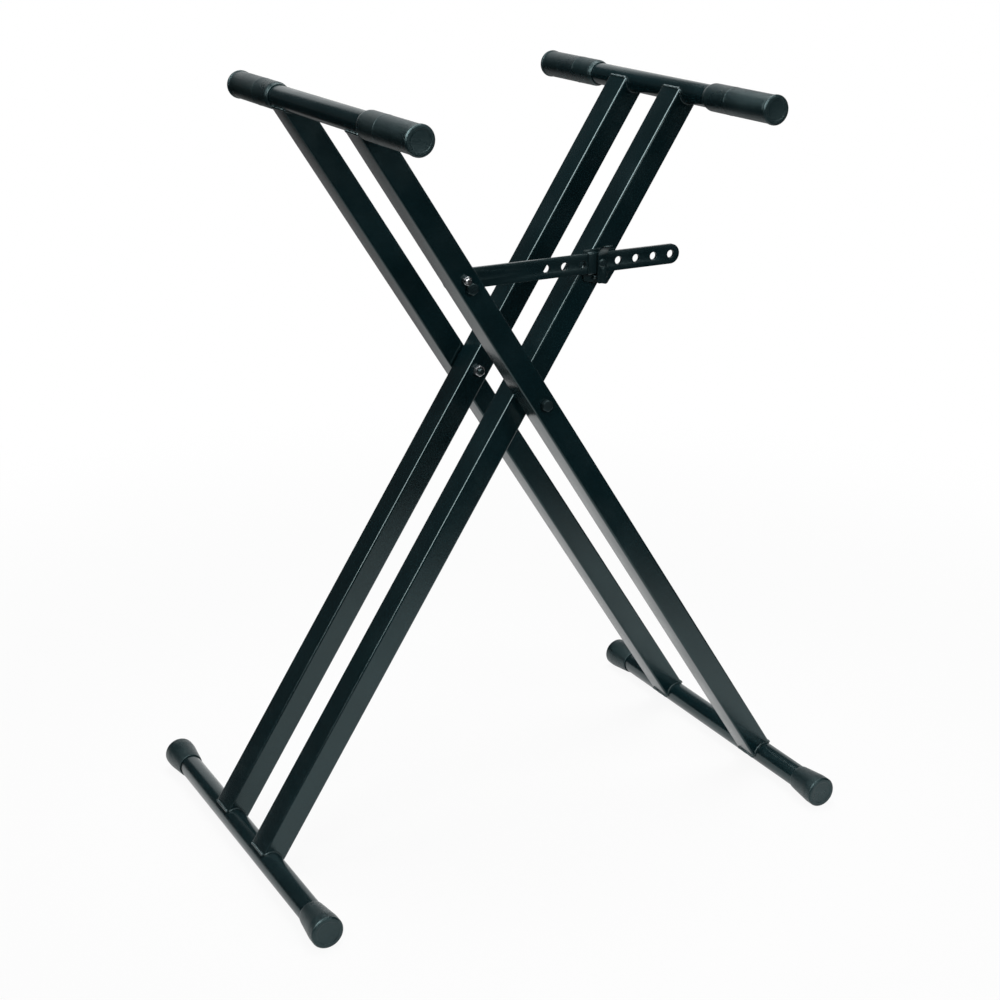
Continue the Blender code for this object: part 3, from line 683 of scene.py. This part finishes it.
# %% [markdown]
# ## Legs
#
# A leg is rectangular tube with rounded corners, cut square at both ends and hollowed to sit over half of
# each bar. The box is bevelled along its length, then the tube's inside and the two bars are cut away from
# it.

# %% Legs
LEG_DEPTH, LEG_WIDTH, LEG_WALL, LEG_CORNER = 0.031, 0.039, 0.0012, 0.0022
TOP_SETBACK, FOOT_SETBACK = 0.004, 0.0065  # from each bar's middle to the leg's end
FIT = 0.0003  # the gap between pieces that touch


def leg_direction(prefix):
    return (middle(prefix + "_top_tube") - middle(prefix + "_foot_tube")).normalized()


def tube_leg(prefix, side):
    node = f"{prefix}_{side}_leg"
    top, foot, along = middle(prefix + "_top_tube"), middle(prefix + "_foot_tube"), leg_direction(prefix)
    y = middle(node).y
    start = Vector((foot.x, y, foot.z)) + along * FOOT_SETBACK
    length = (top - foot).length - TOP_SETBACK - FOOT_SETBACK
    stand = facing(start, along, RIGHT)
    body = bar((LEG_DEPTH, LEG_WIDTH, length), (0, 0, length / 2), LEG_CORNER)
    bmesh.ops.transform(body, matrix=stand, verts=body.verts)
    inside = bar((LEG_DEPTH - 2 * LEG_WALL, LEG_WIDTH - 2 * LEG_WALL, length + 0.01), (0, 0, length / 2),
                 LEG_CORNER - LEG_WALL, 3)
    bmesh.ops.transform(inside, matrix=stand, verts=inside.verts)
    tools = [("DIFFERENCE", inside)]
    for level, centre in (("top", top), ("foot", foot)):
        hollow = radius_of(f"{prefix}_{level}_tube") + FIT
        place = facing((centre.x, y, centre.z), BACK)
        tools.append(("DIFFERENCE", drum(hollow, -0.05, 0.05, 96, place)))
    return finished(node + "_tube", combined(body, tools), node, sharp=32)


legs = [tube_leg(prefix, side) for prefix, side in ENDS]
print("legs", len(legs), "faces", sum(len(leg.data.polygons) for leg in legs))

# %% [markdown]
# ## Welds
#
# The legs are welded to the bars by hand. A bead is a row of overlapping ripples about two millimetres
# apart, and the paint covers it. Rings of ten corners follow the joint, their size rises and falls, and
# bridges join them.

# %% Weld beads
RIPPLE = 0.0021  # from one ripple to the next
BEAD_RADIUS = 0.0021
BEAD_OUT, BEAD_IN = 0.0006, 0.0004  # a side bead's middle, off the bar and into the leg
CORNER_GAP = 0.0016  # a side bead stops short of the leg's corners
ARC_BEAD = 0.75  # the size of the beads over a leg's wide faces, beside the side beads
ARC_IN, ARC_OUT = 0.0002, 0.0003  # their middle, into the face and off the bar
ARC_STEPS = 100


def weld_bead(name, points, node, radius=BEAD_RADIUS):
    """A bead along a line of points, tapered at both ends; sines make ripples as uneven as a hand's."""
    shape = bmesh.new()
    rings = []
    travelled = 0.0
    total = sum((b - a).length for a, b in zip(points, points[1:]))
    for index, point in enumerate(points):
        if index:
            travelled += (point - points[index - 1]).length
        ahead = points[min(index + 1, len(points) - 1)] - points[max(index - 1, 0)]
        uneven = 0.6 * math.sin(travelled * 700)
        ripple = abs(math.sin(math.pi * travelled / RIPPLE + uneven))
        from_end = max(min(travelled, total - travelled), 0.0)
        taper = min(1.0, math.sqrt(from_end / (1.6 * radius)) + 0.25)
        size = radius * taper * (0.80 + 0.20 * ripple + 0.05 * math.sin(travelled * 410))
        place = facing(point, ahead, FRONT + UP * 0.3)
        rings.append(bmesh.ops.create_circle(shape, segments=10, radius=size, matrix=place)["verts"])
    for first, second in zip(rings, rings[1:]):
        edges = [e for e in shape.edges if set(e.verts) <= set(first) or set(e.verts) <= set(second)]
        bmesh.ops.bridge_loops(shape, edges=edges)
    ends = [e for e in shape.edges if e.is_boundary]
    bmesh.ops.holes_fill(shape, edges=ends, sides=12)
    return finished(name, shape, node, stands_for=False, sharp=70)


def steps_between(a, b, spacing):
    count = max(2, round((b - a).length / spacing))
    return [a.lerp(b, k / count) for k in range(count + 1)]


def leg_welds(prefix, side):
    node = f"{prefix}_{side}_leg"
    along = leg_direction(prefix)
    across = Vector((along.z, 0, -along.x))
    y = middle(node).y
    made = []
    for level, sign, setback in (("top", -1, TOP_SETBACK), ("foot", 1, FOOT_SETBACK)):
        name = f"{prefix}_{side}_{level}_weld_"
        tube = f"{prefix}_{level}_tube"
        centre, radius = middle(tube), radius_of(tube)
        centre = Vector((centre.x, y, centre.z))
        for wall, word in ((-1, "left"), (1, "right")):
            beside = centre + across * wall * (radius + BEAD_OUT) + along * sign * (setback - BEAD_IN)
            reach = BACK * (LEG_WIDTH / 2 - CORNER_GAP)
            line = steps_between(beside - reach, beside + reach, RIPPLE / 6)
            made.append(weld_bead(name + word, line, node))
        for face, word in ((-1, "front"), (1, "rear")):
            lowest = math.asin(min(1.0, setback / radius))
            angles = [lowest + (math.pi - 2 * lowest) * k / ARC_STEPS for k in range(ARC_STEPS + 1)]
            start = centre + BACK * face * (LEG_WIDTH / 2 - ARC_IN)
            points = [start + (across * math.cos(a) + along * sign * math.sin(a)) * (radius + ARC_OUT)
                      for a in angles]
            made.append(weld_bead(name + word, points, node, BEAD_RADIUS * ARC_BEAD))
    return made


welds = [weld for prefix, side in ENDS for weld in leg_welds(prefix, side)]
print("weld beads", len(welds))

# %% [markdown]
# ## Rubber sleeves and foot caps
#
# Both are closed tubes of moulded rubber, so both are turned. The sleeve has a bevelled mouth, a thin ridge
# where the mould's halves met, a groove and a raised rim at its end. The foot cap widens from its neck to a
# round disc.

# %% Sleeves
RUBBER_STEPS = 96
END_WALL = 0.004
RIM_OUT, GROOVE_IN, SEAM_OUT = 0.0008, 0.0006, 0.00022  # off the sleeve's plain surface
SEAM_PLACE = 0.36  # along the sleeve from its mouth


def on_bar_end(node, outline):
    """Rubber turned from an outline that starts in its end face; its mouth looks at the stand's middle."""
    low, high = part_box(node)
    at_rear = middle(node).y > 0
    place = on_axis(node, low.y if at_rear else high.y, BACK if at_rear else FRONT)
    return finished(node + "_rubber", turned(outline, RUBBER_STEPS), node, matrix=place)


def sleeve(node):
    low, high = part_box(node)
    length, rim = high.y - low.y, radius_of(node)
    radius = rim - RIM_OUT
    bore = radius_of(node.split("_")[0] + "_top_tube") + FIT
    face = length - 0.0006  # the bare disc lies that much inside its ring
    seam, ridge = SEAM_PLACE * length, radius + SEAM_OUT
    return on_bar_end(node, [
        (0, face, 0), (0.0120, face, 0.0002), (0.0126, length, 0.0002),
        (rim - 0.0016, length, 0.0003), (rim, length - 0.0018, 0.0008), (rim, length - 0.0046, 0.0003),
        (radius - GROOVE_IN, length - 0.0054, 0.0002), (radius, length - 0.0062, 0.0003),
        (radius, seam + 0.0011, 0.0003), (ridge, seam + 0.0006, 0.0002),
        (ridge, seam - 0.0006, 0.0002), (radius, seam - 0.0011, 0.0003),
        (radius, 0.0062, 0.0012), (bore + 0.0008, 0, 0.0003), (bore, 0, 0),
        (bore, length - END_WALL, 0), (0, length - END_WALL, 0),
    ])


sleeves = [sleeve(f"{prefix}_{side}_top_sleeve") for prefix, side in ENDS]
print("sleeves", [round(s.dimensions.y, 4) for s in sleeves])

# %% Foot caps
NECK_WALL = 0.0013


def foot_cap(node):
    low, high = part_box(node)
    length, widest = high.y - low.y, radius_of(node)
    bore = radius_of(node.split("_")[0] + "_foot_tube") + FIT
    neck = bore + NECK_WALL
    face = length - 0.0005
    return on_bar_end(node, [
        (0, face, 0), (0.0140, face, 0.0002), (0.0146, length, 0.0002),
        (widest - 0.0018, length, 0.0003), (widest, length - 0.0020, 0.0009),
        (widest, length - 0.0135, 0.0016), (neck, 0.0020, 0.0008), (neck - 0.0004, 0, 0.0003), (bore, 0, 0),
        (bore, length - END_WALL, 0), (0, length - END_WALL, 0),
    ])


caps = [foot_cap(f"{prefix}_{side}_foot_cap") for prefix, side in ENDS]
print("foot caps", [round(c.dimensions.z, 4) for c in caps])

# %% [markdown]
# ## Bolts and nuts
#
# A hexagon head is a six-sided prism whose corners a cone has cut off, so it is the part that a prism and a
# turned shape have in common. The thread is drawn as turned ridges, which look the same as a real thread at
# this size.

# %% Threads and hexagons
THREAD_DEPTH = 0.55  # as a part of the pitch
TOP_FACE = 0.475  # the radius of a head's flat top, as a part of its width across flats
CLEAR = 0.00003  # keeps the cone off the prism's corners
THREAD_PLAY, NUT_ENTRY = 0.00008, 0.0005


def threaded_bar(radius, length, thread_length, pitch):
    """A bar from z = 0 down, with ridges along its last stretch and a smaller flat end."""
    depth = THREAD_DEPTH * pitch
    top = thread_length - length
    outline = [(0, 0, 0), (radius, 0, 0), (radius, top, 0)]
    for k in range(int((thread_length - pitch) / pitch)):
        outline.append((radius - depth, top - (k + 0.5) * pitch, 0))
        outline.append((radius, top - (k + 1) * pitch, 0))
    outline += [(radius - depth, -length, 0), (0, -length, 0)]
    return turned(outline)


def hexagon_block(across_flats, height, both_ends):
    """A hexagon prism on z = 0 with its corners turned off at the top, or at both ends."""
    shape = bmesh.new()
    corner = across_flats / 2 / math.cos(math.pi / 6)
    bmesh.ops.create_cone(shape, cap_ends=True, segments=6, radius1=corner, radius2=corner, depth=height)
    bmesh.ops.translate(shape, vec=(0, 0, height / 2), verts=shape.verts)
    face = TOP_FACE * across_flats
    drop = (corner - face) * math.tan(math.radians(30)) + 0.00002
    outline = [(0, height, 0), (face, height, 0), (corner + CLEAR, height - drop, 0)]
    if both_ends:
        outline += [(corner + CLEAR, drop, 0), (face, 0, 0), (0, 0, 0)]
    else:
        outline += [(corner + 0.001, -0.001, 0), (0, -0.001, 0)]
    return shape, turned(outline, 60)


def hexagon_bolt(node, toward, across, size, thread_length):
    across_flats, head_height, radius, pitch = size.values()
    low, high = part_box(node)
    head_out = low.y if toward is FRONT else high.y
    seat = head_out - toward.y * head_height
    length = (high.y - low.y) - head_height
    head, cone = hexagon_block(across_flats, head_height, False)
    shank = threaded_bar(radius, length + head_height / 2, thread_length, pitch)
    bmesh.ops.translate(shank, vec=(0, 0, head_height / 2), verts=shank.verts)
    shape = combined(combined(head, [("INTERSECT", cone)], 0.00015, 2, 30), [("UNION", shank)])
    return finished(node + "_part", shape, node, sharp=30, matrix=on_axis(node, seat, toward, across))


def hexagon_nut(node, toward, across, size):
    low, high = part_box(node)
    height = high.y - low.y
    radius = size["radius"] + THREAD_PLAY
    mouth = radius + NUT_ENTRY
    block, cone = hexagon_block(size["flats"], height, True)
    bore = turned([(0, -0.001, 0), (mouth, -0.001, 0), (mouth, 0, 0), (radius, NUT_ENTRY, 0),
                   (radius, height - NUT_ENTRY, 0), (mouth, height, 0), (mouth, height + 0.001, 0),
                   (0, height + 0.001, 0)])
    shape = combined(combined(block, [("INTERSECT", cone)], 0.00012, 2, 30), [("DIFFERENCE", bore)])
    base = low.y if toward is BACK else high.y
    return finished(node + "_part", shape, node, sharp=30, matrix=on_axis(node, base, toward, across))


# %% Fasteners
M8 = {"flats": 0.013, "head": 0.0053, "radius": 0.004, "pitch": 0.00125}
M6 = {"flats": 0.010, "head": 0.004, "radius": 0.003, "pitch": 0.001}
PIVOT_THREAD, STRAP_THREAD = 0.022, 0.016
inner_lean, outer_lean = leg_direction("inner"), leg_direction("outer")
fasteners = [
    hexagon_bolt("front_pivot_bolt", FRONT, outer_lean, M8, PIVOT_THREAD),
    hexagon_nut("front_pivot_nut", BACK, inner_lean, M8),
    hexagon_bolt("rear_pivot_bolt", BACK, outer_lean, M8, PIVOT_THREAD),
    hexagon_nut("rear_pivot_nut", FRONT, inner_lean, M8),
    hexagon_bolt("strap_pivot_bolt", FRONT, outer_lean, M8, STRAP_THREAD),
    hexagon_nut("strap_pivot_nut", BACK, RIGHT, M8),
    hexagon_bolt("strap_stop_bolt", BACK, outer_lean, M6, STRAP_THREAD),
    hexagon_nut("strap_stop_nut", FRONT, outer_lean, M6),
]
print("fasteners", [f.name for f in fasteners])

# %% Spacers and washer
RING_SIZE = 0.985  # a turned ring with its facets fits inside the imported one
RING_HOLE = M8["radius"] + 0.0002


def ring_spacer(node):
    low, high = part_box(node)
    radius, height = radius_of(node) * RING_SIZE, high.y - low.y
    outline = [(radius, 0, 0.0003), (radius, height, 0.0003),
               (RING_HOLE, height, 0.0002), (RING_HOLE, 0, 0.0002)]
    shape = turned(outline, closed=True)
    return finished(node + "_ring", shape, node, matrix=on_axis(node, low.y, BACK))


spacers = [ring_spacer(node) for node in ("front_pivot_spacer", "rear_pivot_washer", "strap_pivot_spacer")]
print("spacers", [round(s.dimensions.y * 1000, 2) for s in spacers])

# %% [markdown]
# ## The strap
#
# The strap is flat bar with round ends, punched with eight holes. It starts as a flat outline of four
# corners. A bevel of those corners, as wide as half the strap, makes the round ends, and then it gets its
# thickness. Drums cut the holes, and a small bevel rounds every edge, as the paint does.

# %% Strap
STRAP_HOLE, PIVOT_HOLE = 0.005, M8["radius"] + 0.0003  # their radii
HOLE_PITCH, HOLE_COUNT, LOCKED_HOLE = 0.0257, 8, 4
JOINTS = {joint["name"]: joint for joint in frame["joints"]}
STRAP_PIVOT = Vector(JOINTS["strap_hinge"]["pos_m"])
LOCK_PIVOT = Vector(JOINTS["lock_pivot"]["pos_m"])


def cut_plate(corners, out, thickness, rounding, segments=5):
    """A plate in the strap's plane from (x, z) corners; its back lies at a distance towards the front."""
    shape = bmesh.new()
    verts = [shape.verts.new((x, -out, z)) for x, z in corners]
    shape.faces.new(verts)
    round_off(shape, verts, rounding, segments, affect="VERTICES")
    grown = bmesh.ops.extrude_face_region(shape, geom=list(shape.faces))
    moved = [v for v in grown["geom"] if isinstance(v, bmesh.types.BMVert)]
    bmesh.ops.translate(shape, vec=(0, -thickness, 0), verts=moved)
    bmesh.ops.recalc_face_normals(shape, faces=shape.faces)
    return shape


def flat_strap():
    low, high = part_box("height_strap")
    half, thick = (high.z - low.z) / 2, high.y - low.y
    z = middle("height_strap").z
    corners = [(low.x, low.z), (high.x, low.z), (high.x, high.z), (low.x, high.z)]
    shape = cut_plate(corners, -high.y, thick, half - 0.00002, 24)
    places = [(LOCK_PIVOT.x + (k + 1 - LOCKED_HOLE) * HOLE_PITCH, STRAP_HOLE) for k in range(HOLE_COUNT)]
    places.append((STRAP_PIVOT.x, PIVOT_HOLE))
    tools = []
    for x, radius in places:
        hole = drum(radius, -thick, thick, 64, facing((x, (low.y + high.y) / 2, z), BACK))
        tools.append(("DIFFERENCE", hole))
    return finished("height_strap_bar", combined(shape, tools, 0.00045, 3, 50), "height_strap", sharp=30)


strap = flat_strap()
print("strap", [round(v, 4) for v in strap.dimensions])

# %% [markdown]
# ## The lock
#
# A folded bracket turns on a rivet in the inner front leg. A channel on its left side guides the strap, and
# a bent lever carries the pin that drops in a hole of the strap. The sheet parts start as flat outlines or
# bent lines. Their corners and folds are rounded with a bevel, and then they get their thickness.

# %% Sheet metal tools
SHEET = 0.002
BACK_PLATE_OUT, FRONT_PLATE_OUT, LEVER_BACK_OUT = 0.0023, 0.0071, 0.0074  # in front of the leg
HINGE = Vector(JOINTS["lock_lever_hinge"]["pos_m"]) - LOCK_PIVOT
EAR_HALF, PIN_HOLE = 0.0022, 0.0014
RIVET_RADIUS, RIVET_FRONT, RIVET_BACK = 0.0040, 0.0055, 0.0065  # its shank and its two heads
AT_LOCK = Matrix.Translation(LOCK_PIVOT)


def bent_sheet(line, left, right, bend=0.0):
    """A strip bent along (out, up) points, between two x, with its wall centred on the line."""
    shape = bmesh.new()
    points = [shape.verts.new((left, -out, up)) for out, up in line]
    edges = [shape.edges.new(pair) for pair in zip(points, points[1:])]
    grown = bmesh.ops.extrude_edge_only(shape, edges=edges)
    moved = [v for v in grown["geom"] if isinstance(v, bmesh.types.BMVert)]
    bmesh.ops.translate(shape, vec=(right - left, 0, 0), verts=moved)
    if bend:
        folds = [e for e in shape.edges if len(e.link_faces) == 2 and e.calc_face_angle() > 0.3]
        round_off(shape, folds, bend, 6)
    bmesh.ops.recalc_face_normals(shape, faces=shape.faces)
    bmesh.ops.solidify(shape, geom=list(shape.faces), thickness=SHEET)
    return shape


def ears(inner, root_out):
    """Two lugs with round ends that reach from a sheet out to the hinge pin, as tools for a union."""
    tip_out = -HINGE.y
    made = []
    for x_low, x_high in ((-inner - SHEET, -inner), (inner, inner + SHEET)):
        size = (x_high - x_low, tip_out - root_out, 2 * EAR_HALF)
        shape = bar(size, ((x_low + x_high) / 2, -(root_out + tip_out) / 2, HINGE.z))
        end = drum(EAR_HALF, x_low, x_high, 40, facing((0, HINGE.y, HINGE.z), RIGHT))
        made.append(("UNION", combined(shape, [("UNION", end)])))
    return made


def hinge_cut():
    return "DIFFERENCE", drum(PIN_HOLE, -0.02, 0.02, 32, facing((0, HINGE.y, HINGE.z), RIGHT))


def rivet_cut(radius, low, high):
    return "DIFFERENCE", drum(radius, low, high, 48, facing((0, 0, 0), FRONT))


# %% Lock bracket
LEVER_HALF = 0.00625
GUIDE_LEFT, GUIDE_LENGTH, GUIDE_HALF = -0.0185, 0.0115, 0.013
GUIDE_ROOT = 0.0013
PLATE_CORNER = FOLD = 0.0022
# The back plate's corners, as x and z from the rivet.
BACK_PLATE = [(-0.0215, -0.022), (0.012, -0.0295), (0.024, -0.0125), (0.012, 0.0165), (-0.0215, 0.0165)]


def make_bracket():
    plate = cut_plate(BACK_PLATE, FIT, SHEET, PLATE_CORNER)
    out, half = FRONT_PLATE_OUT + SHEET / 2, GUIDE_HALF + SHEET / 2
    line = [(GUIDE_ROOT, -half), (out, -half), (out, half), (GUIDE_ROOT, half)]
    guide = bent_sheet(line, GUIDE_LEFT, GUIDE_LEFT + GUIDE_LENGTH, FOLD)
    tools = [("UNION", guide), *ears(LEVER_HALF + FIT, 0.001)]
    # A round recess takes the rivet's front head, and a hole takes its shank.
    tools += [rivet_cut(RIVET_FRONT + FIT, BACK_PLATE_OUT - 0.0012, 0.006),
              rivet_cut(RIVET_RADIUS + 0.0004, -0.002, 0.006), hinge_cut()]
    return finished("lock_bracket_sheet", combined(plate, tools, 0.00025, 2, 35), "lock_bracket", sharp=30,
                    matrix=AT_LOCK)


bracket = make_bracket()
print("bracket", [round(v * 1000, 1) for v in bracket.dimensions])

# %% Lock lever
LEVER_TOP, LEVER_BOTTOM = 0.006, -0.0255
LEVER_OUT = LEVER_BACK_OUT + SHEET / 2
TAB_RADIUS, TAB_ANGLE, TAB_LENGTH = 0.0185, 78, 0.001
TAB_STEP = 6
END_CORNER = 0.0026
PIN_SEAT = 0.0041  # the radius of the hole for the lock pin


def lever_line():
    """The lever's line from its tail up to the curl of its finger tab."""
    points = [(LEVER_OUT, LEVER_BOTTOM), (LEVER_OUT, LEVER_TOP)]
    for degrees in range(TAB_STEP, TAB_ANGLE + 1, TAB_STEP):
        angle = math.radians(degrees)
        out, up = LEVER_OUT + TAB_RADIUS * (1 - math.cos(angle)), LEVER_TOP + TAB_RADIUS * math.sin(angle)
        points.append((out, up))
    angle = math.radians(TAB_ANGLE)
    points.append((out + TAB_LENGTH * math.sin(angle), up + TAB_LENGTH * math.cos(angle)))
    return points


def make_lever():
    tab_out = LEVER_OUT + TAB_RADIUS * (1 - math.cos(math.radians(TAB_ANGLE))) + TAB_LENGTH / 2
    strip = bent_sheet(lever_line(), -LEVER_HALF, LEVER_HALF)
    corners = []
    for edge in strip.edges:
        first, second = (v.co for v in edge.verts)
        through_sheet = abs(first.x - second.x) < SAME and edge.calc_length() < SHEET * 1.05
        if through_sheet and (first.z < LEVER_BOTTOM + 0.0005 or min(first.y, second.y) < -tab_out):
            corners.append(edge)
    round_off(strip, corners, END_CORNER, 5)
    tools = [*ears(LEVER_HALF - SHEET, LEVER_OUT), hinge_cut(), rivet_cut(PIN_SEAT, 0.004, 0.012)]
    return finished("lock_lever_strip", combined(strip, tools, 0.00025, 2, 35), "lock_lever", sharp=30,
                    matrix=AT_LOCK)


lever = make_lever()
print("lever", [round(v * 1000, 1) for v in lever.dimensions])

# %% Pins and rivet
PIN_RADIUS, PIN_TIP, PIN_HEAD = 0.0040, 0.0034, 0.0055
PIN_END = 0.0069  # how far in front of the leg the pin's tip is
HEAD_HEIGHT = 0.0016
HINGE_RADIUS, HINGE_HEAD, HINGE_HEAD_HEIGHT = 0.0012, 0.0024, 0.0010


def lock_pins():
    seat = LEVER_BACK_OUT + SHEET + FIT
    top = seat + HEAD_HEIGHT
    pin = turned([(0, top, 0), (0.0038, top, 0.0010), (PIN_HEAD, seat + 0.0006, 0.0004),
                  (PIN_HEAD, seat, 0.0001), (PIN_RADIUS, seat, 0), (PIN_RADIUS, PIN_END + 0.0004, 0.0003),
                  (PIN_TIP, PIN_END, 0), (0, PIN_END, 0)])
    inside = -LEG_WALL - FIT  # the rivet's rear head lies inside the leg
    front, face = BACK_PLATE_OUT - 0.0009, BACK_PLATE_OUT
    rivet = turned([(0, inside - HEAD_HEIGHT, 0), (RIVET_BACK, inside - HEAD_HEIGHT, 0.0006),
                    (RIVET_BACK, inside, 0), (RIVET_RADIUS, inside, 0), (RIVET_RADIUS, front, 0),
                    (RIVET_FRONT, front, 0), (RIVET_FRONT, face, 0.0003), (0, face, 0)])
    lock = facing(LOCK_PIVOT, FRONT)
    made = [finished("lock_pin_part", pin, "lock_pin", matrix=lock),
            finished("lock_rivet_part", rivet, "lock_rivet", matrix=lock)]
    low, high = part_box("lever_hinge_pin")
    half = (high.x - low.x) / 2
    neck = half - HINGE_HEAD_HEIGHT
    pivot = turned([(0, half, 0), (HINGE_HEAD, half, 0.0005), (HINGE_HEAD, neck, 0), (HINGE_RADIUS, neck, 0),
                    (HINGE_RADIUS, -neck, 0), (HINGE_HEAD, -neck, 0), (HINGE_HEAD, -half, 0.0005),
                    (0, -half, 0)], 32)
    made.append(finished("lever_hinge_pin_part", pivot, "lever_hinge_pin",
                         matrix=facing(middle("lever_hinge_pin"), RIGHT)))
    return made


pins = lock_pins()
print("pins", [p.name for p in pins])

# %% [markdown]
# ### The lever's spring
#
# A coil spring is a small circle carried round and forward at once, which is a spin with a step along its
# axis.

# %% Spring
SPRING_WIRE = 0.0003  # the wire's radius
SPRING_TURNS, STEPS_PER_TURN = 4, 20


def coil_spring(node):
    low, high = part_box(node)
    centre = middle(node)
    radius = radius_of(node) - SPRING_WIRE
    travel = (high.y - low.y) - 2 * SPRING_WIRE
    shape = bmesh.new()
    start = Vector((centre.x + radius, high.y - SPRING_WIRE, centre.z))
    place = facing(start, UP, RIGHT)
    ring = bmesh.ops.create_circle(shape, segments=8, radius=SPRING_WIRE, matrix=place)["verts"]
    edges = list({e for v in ring for e in v.link_edges})
    count = SPRING_TURNS * STEPS_PER_TURN
    bmesh.ops.spin(shape, geom=ring + edges, cent=(centre.x, start.y, centre.z), axis=BACK,
                   dvec=FRONT * travel / count, angle=2 * math.pi * SPRING_TURNS, steps=count)
    bmesh.ops.holes_fill(shape, edges=[e for e in shape.edges if e.is_boundary], sides=12)
    return finished(node + "_coil", shape, node, sharp=60)


spring = coil_spring("lock_spring")
print("spring faces", len(spring.data.polygons))
